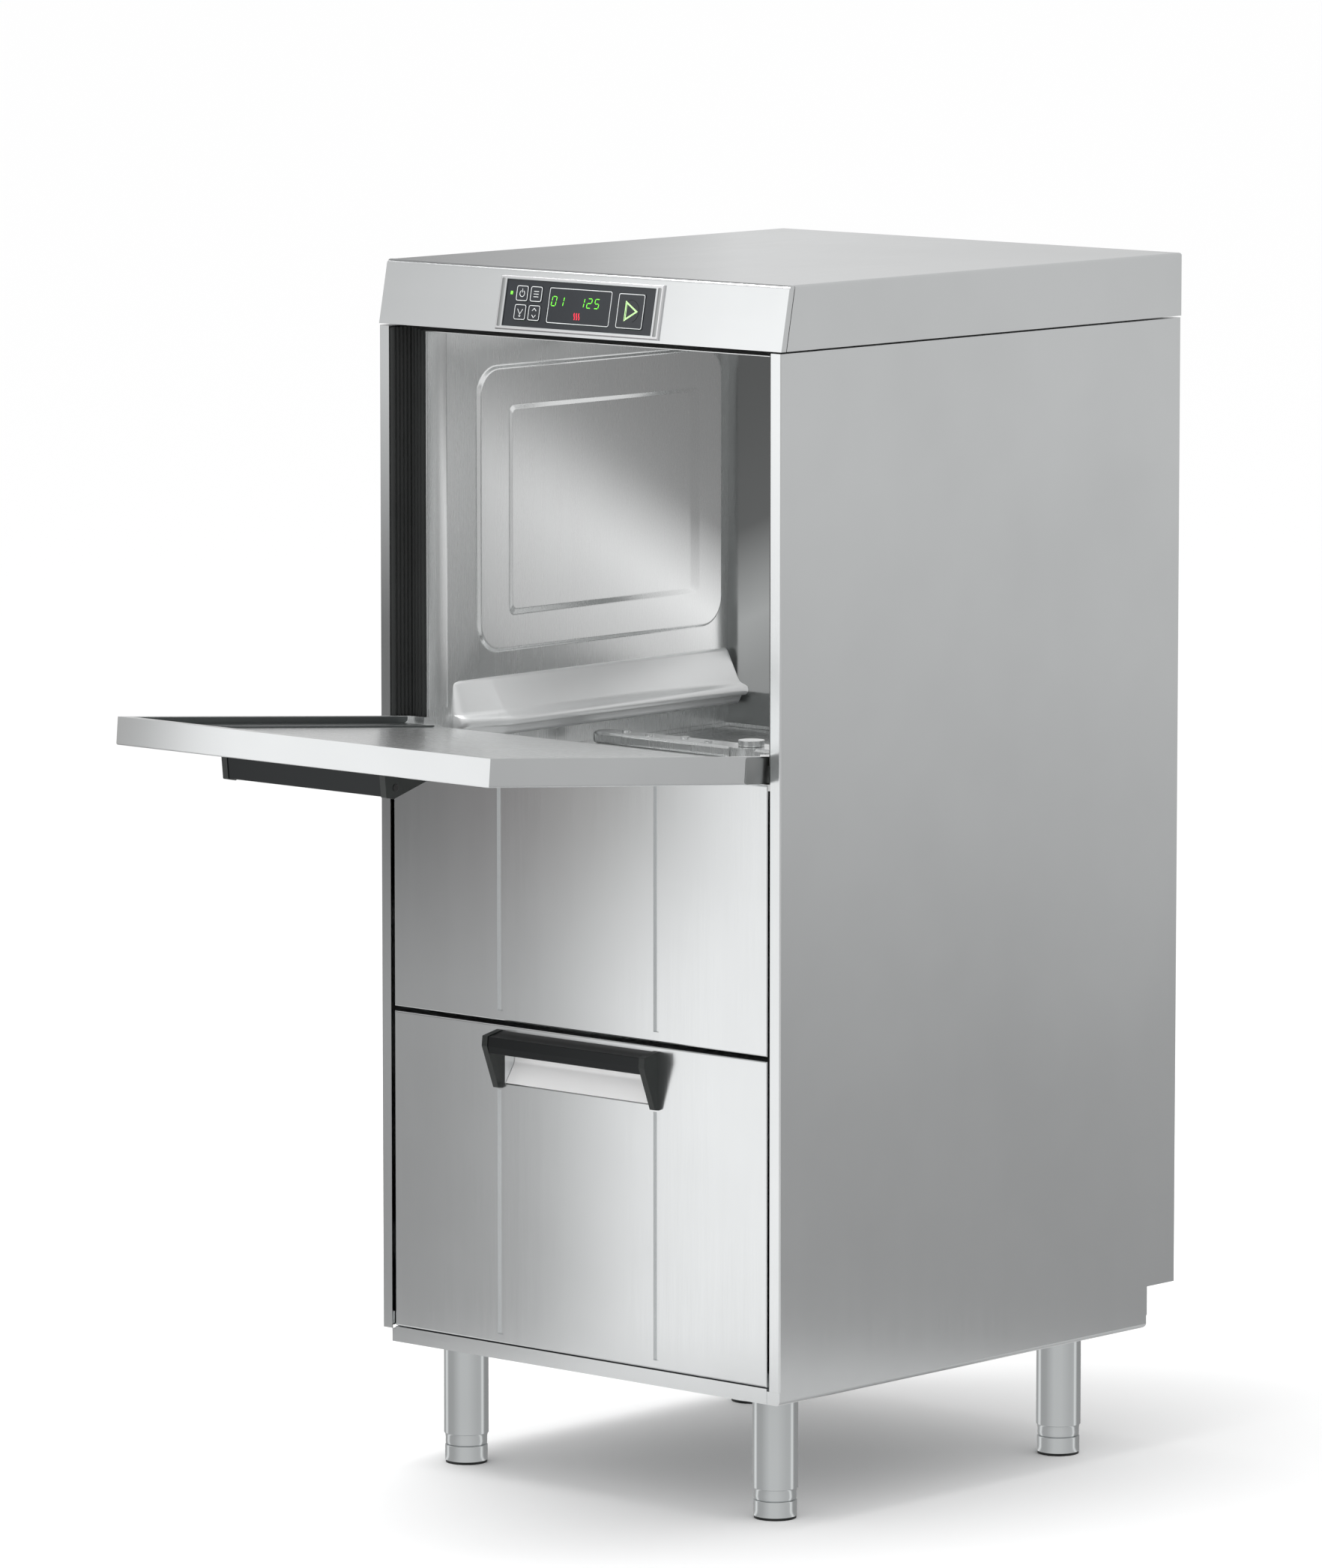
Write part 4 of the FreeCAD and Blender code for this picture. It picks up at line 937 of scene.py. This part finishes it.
def card(name, middle, facing, wide, tall, axis, rows):
    """Glowing card that only reflections see.

    Each row is (height, stops), and a stop is (metres along axis, glow)."""
    facing = Vector(facing).normalized()
    across = facing.cross(Vector((0, 0, 1))).normalized()
    up = across.cross(facing)
    middle = Vector(middle)
    mesh = bpy.data.meshes.new(name)
    half_across, half_up = across * wide / 2, up * tall / 2
    corners = [middle + u * half_across + v * half_up for u, v in ((-1, -1), (1, -1), (1, 1), (-1, 1))]
    mesh.from_pydata([tuple(corner) for corner in corners], [], [(0, 1, 2, 3)])
    graph = Graph(name)
    place = graph.add("ShaderNodeTexCoord")
    along = graph.add("ShaderNodeVectorMath", operation="DOT_PRODUCT")
    along.inputs[1].default_value = axis
    graph.link(place.outputs["Object"], along.inputs[0])
    parts = graph.add("ShaderNodeSeparateXYZ")
    graph.link(place.outputs["Object"], parts.inputs[0])
    colour = None
    for index, (level, stops) in enumerate(rows):
        first, last = stops[0][0], stops[-1][0]
        reach = graph.ranged(along.outputs["Value"], 0, 1, (first, last))
        row_colour = graph.glows(reach, [((at - first) / (last - first), glow) for at, glow in stops])
        if colour is None:
            colour = row_colour
            continue
        blend = graph.add("ShaderNodeMix", data_type="RGBA")
        share = graph.ranged(parts.outputs["Z"], 0, 1, (rows[index - 1][0], level))
        graph.link(share, blend.inputs["Factor"])
        graph.link(colour, blend.inputs["A"])
        graph.link(row_colour, blend.inputs["B"])
        colour = blend.outputs["Result"]
    reflections_only(name, mesh, graph, colour)


# Glow by angle round a leg, in degrees from the X axis.
LEG_GLOW = (
    (-180, 0.4), (-160, 0.42), (-150, 0.85), (-143, 0.85), (-132, 0.4), (-105, 0.42), (-70, 0.6), (-40, 0.6),
    (0, 0.5), (18, 0.5), (24, 0.82), (30, 0.82), (40, 0.33), (120, 0.28), (180, 0.4))
RING_INNER = 0.03
RING_OUTER = 0.06
RING_FOOT = 0.0005
RING_TOP = 0.1405


def leg_ring(name, middle):
    """Low ring round a leg that only reflections see: LEG_GLOW, by angle, draws the bands on the tube."""
    ring = Shape()
    loops = []
    for reach, level in ((RING_INNER, RING_FOOT), (RING_OUTER, RING_FOOT), (RING_OUTER, RING_TOP)):
        loops.append(ring.ring([(middle[X] + u, middle[Y] + v, level) for u, v in circle(reach, 96)]))
    ring.strip(loops[0], loops[1])
    ring.strip(loops[1], loops[2])
    mesh = bpy.data.meshes.new(name)
    mesh.from_pydata(ring.points, [], ring.faces)
    graph = Graph(name)
    place = graph.add("ShaderNodeTexCoord")
    centred = graph.add("ShaderNodeVectorMath", operation="SUBTRACT")
    centred.inputs[1].default_value = middle
    graph.link(place.outputs["Object"], centred.inputs[0])
    parts = graph.add("ShaderNodeSeparateXYZ")
    graph.link(centred.outputs["Vector"], parts.inputs[0])
    turn = graph.add("ShaderNodeMath", operation="ARCTAN2")
    graph.link(parts.outputs["Y"], turn.inputs[0])
    graph.link(parts.outputs["X"], turn.inputs[1])
    share = graph.ranged(turn.outputs[0], 0, 1, (-pi, pi))
    colour = graph.glows(share, [((angle + 180) / 360, glow) for angle, glow in LEG_GLOW])
    reflections_only(name, mesh, graph, colour)


def lamp(name, place, aim, size, power):
    light = bpy.data.lights.new(name, "AREA")
    light.energy = power
    light.size = size
    holder = bpy.data.objects.new(name, light)
    holder.location = place
    holder.rotation_mode = "QUATERNION"
    holder.rotation_quaternion = (Vector(aim) - Vector(place)).to_track_quat("-Z", "Y")
    bpy.context.scene.collection.objects.link(holder)


def sky():
    """White surround for the eye and for light, and a softly graded grey one for reflections."""
    world = bpy.data.worlds.new("studio")
    world.use_nodes = True
    nodes, links = world.node_tree.nodes, world.node_tree.links
    white = nodes["Background"]
    white.inputs["Color"].default_value = (1.0, 1.0, 1.0, 1)
    white.inputs["Strength"].default_value = 1.08
    place = nodes.new("ShaderNodeTexCoord")
    waves = nodes.new("ShaderNodeTexNoise")
    waves.inputs["Scale"].default_value = 1.1
    waves.inputs["Detail"].default_value = 0.0
    links.new(place.outputs["Generated"], waves.inputs["Vector"])
    graded = nodes.new("ShaderNodeMapRange")
    graded.inputs["From Min"].default_value = 0.35
    graded.inputs["From Max"].default_value = 0.65
    graded.inputs["To Min"].default_value = REFLECTED_SKY[0]
    graded.inputs["To Max"].default_value = REFLECTED_SKY[1]
    links.new(waves.outputs["Fac"], graded.inputs["Value"])
    grey = nodes.new("ShaderNodeBackground")
    links.new(graded.outputs["Result"], grey.inputs["Strength"])
    path = nodes.new("ShaderNodeLightPath")
    mix = nodes.new("ShaderNodeMixShader")
    links.new(path.outputs["Is Glossy Ray"], mix.inputs[0])
    links.new(white.outputs[0], mix.inputs[1])
    links.new(grey.outputs[0], mix.inputs[2])
    links.new(mix.outputs[0], nodes["World Output"].inputs["Surface"])
    bpy.context.scene.world = world


def studio():
    sky()
    floor()
    lamp("key", (-0.5, -0.6, 3.6), (0, 0.1, 0.4), 2.2, 85)
    front_way = Vector((-0.66, -0.74, 0))
    side_way = Vector((0.66, 0.74, 0))
    top_way = Vector((-0.66, 0.74, 0))
    centre = Vector((0, 0.05, 1.0))
    low_row = ((-0.12, 0.33), (-0.035, 0.37), (0.015, 0.42), (0.065, 0.6), (0.1, 0.78), (0.14, 0.95),
               (0.18, 1.05), (1.0, 1.0))
    dark_row = ((-0.12, 0.17), (-0.035, (0.23, 0.22, 0.22)), (0.015, (0.26, 0.25, 0.25)),
                (0.1, (0.4, 0.39, 0.38)), (0.18, 0.5), (0.23, 0.9), (0.27, 1.05), (1.0, 1.0))
    high_row = ((-0.2, 0.6), (0.0, 0.72), (0.2, 1.12), (1.0, 1.15))
    card("front_card", centre + front_way * 0.95, -front_way, 2.4, 2.2, (0.74, -0.66, 0),
         ((0.3, low_row), (0.45, low_row), (0.68, dark_row), (0.9, dark_row), (1.2, high_row)))
    card("side_card", centre + side_way * 1.1, -side_way, 3.0, 2.4, (0, 0, 1),
         ((0.0, ((0.0, 0.33), (0.35, 0.38), (0.8, 0.52), (1.1, 0.58), (2.2, 0.6))),))
    card("top_card", Vector((0, 0.2, 2.6)) + top_way * 1.3, -top_way, 3.4, 2.8, (0.74, 0.66, 0),
         ((0.0, ((-0.35, 0.31), (-0.1, 0.43), (0.1, 0.7), (0.5, 0.62), (1.0, 0.6))),))
    card("chamber_card", (-0.02, WALL_END - 0.003, 1.05), (0, -1, 0), 0.46, 0.42, (-0.40, 0, 0.915),
         ((0.0, ((0.78, 0.62), (0.88, 0.75), (0.94, 1.0), (0.985, 0.7), (1.04, 0.3), (1.2, 0.25))),))
    card("chamber_ceiling", (0, 0.17, 1.284), (0, -0.01, -1), 0.46, 0.46, (0, 1, 0),
         ((0.0, ((-0.1, 0.95), (0.5, 0.8))),))
    for corner in CORNERS:
        leg_ring(f"leg_ring_{corner}", floor_under(f"leg_{corner}"))
    bpy.context.scene.view_settings.view_transform = "Standard"


CAMERA_TURN = radians(42.02)
CAMERA_RISE = radians(7.30)
CAMERA_AWAY = 10.8226
CAMERA_RIGHT = -0.13646
CAMERA_UP = 0.07838
AIM_HEIGHT = 0.692


def camera():
    """Camera at the photograph's viewing angle, with a long lens."""
    turn, rise = CAMERA_TURN, CAMERA_RISE
    back = Vector((sin(turn) * cos(rise), -cos(turn) * cos(rise), sin(rise)))
    right = Vector((cos(turn), sin(turn), 0))
    up = back.cross(right)
    aim = Vector((0, (FRONT + BACK) / 2, AIM_HEIGHT))
    data = bpy.data.cameras.new("camera")
    data.sensor_width = 36
    data.lens = 219.07
    data.clip_end = 300
    holder = bpy.data.objects.new("camera", data)
    holder.location = aim + back * CAMERA_AWAY + right * CAMERA_RIGHT + up * CAMERA_UP
    holder.rotation_mode = "QUATERNION"
    holder.rotation_quaternion = (-back).to_track_quat("-Z", "Y")
    bpy.context.scene.collection.objects.link(holder)
    bpy.context.scene.camera = holder


studio()
camera()
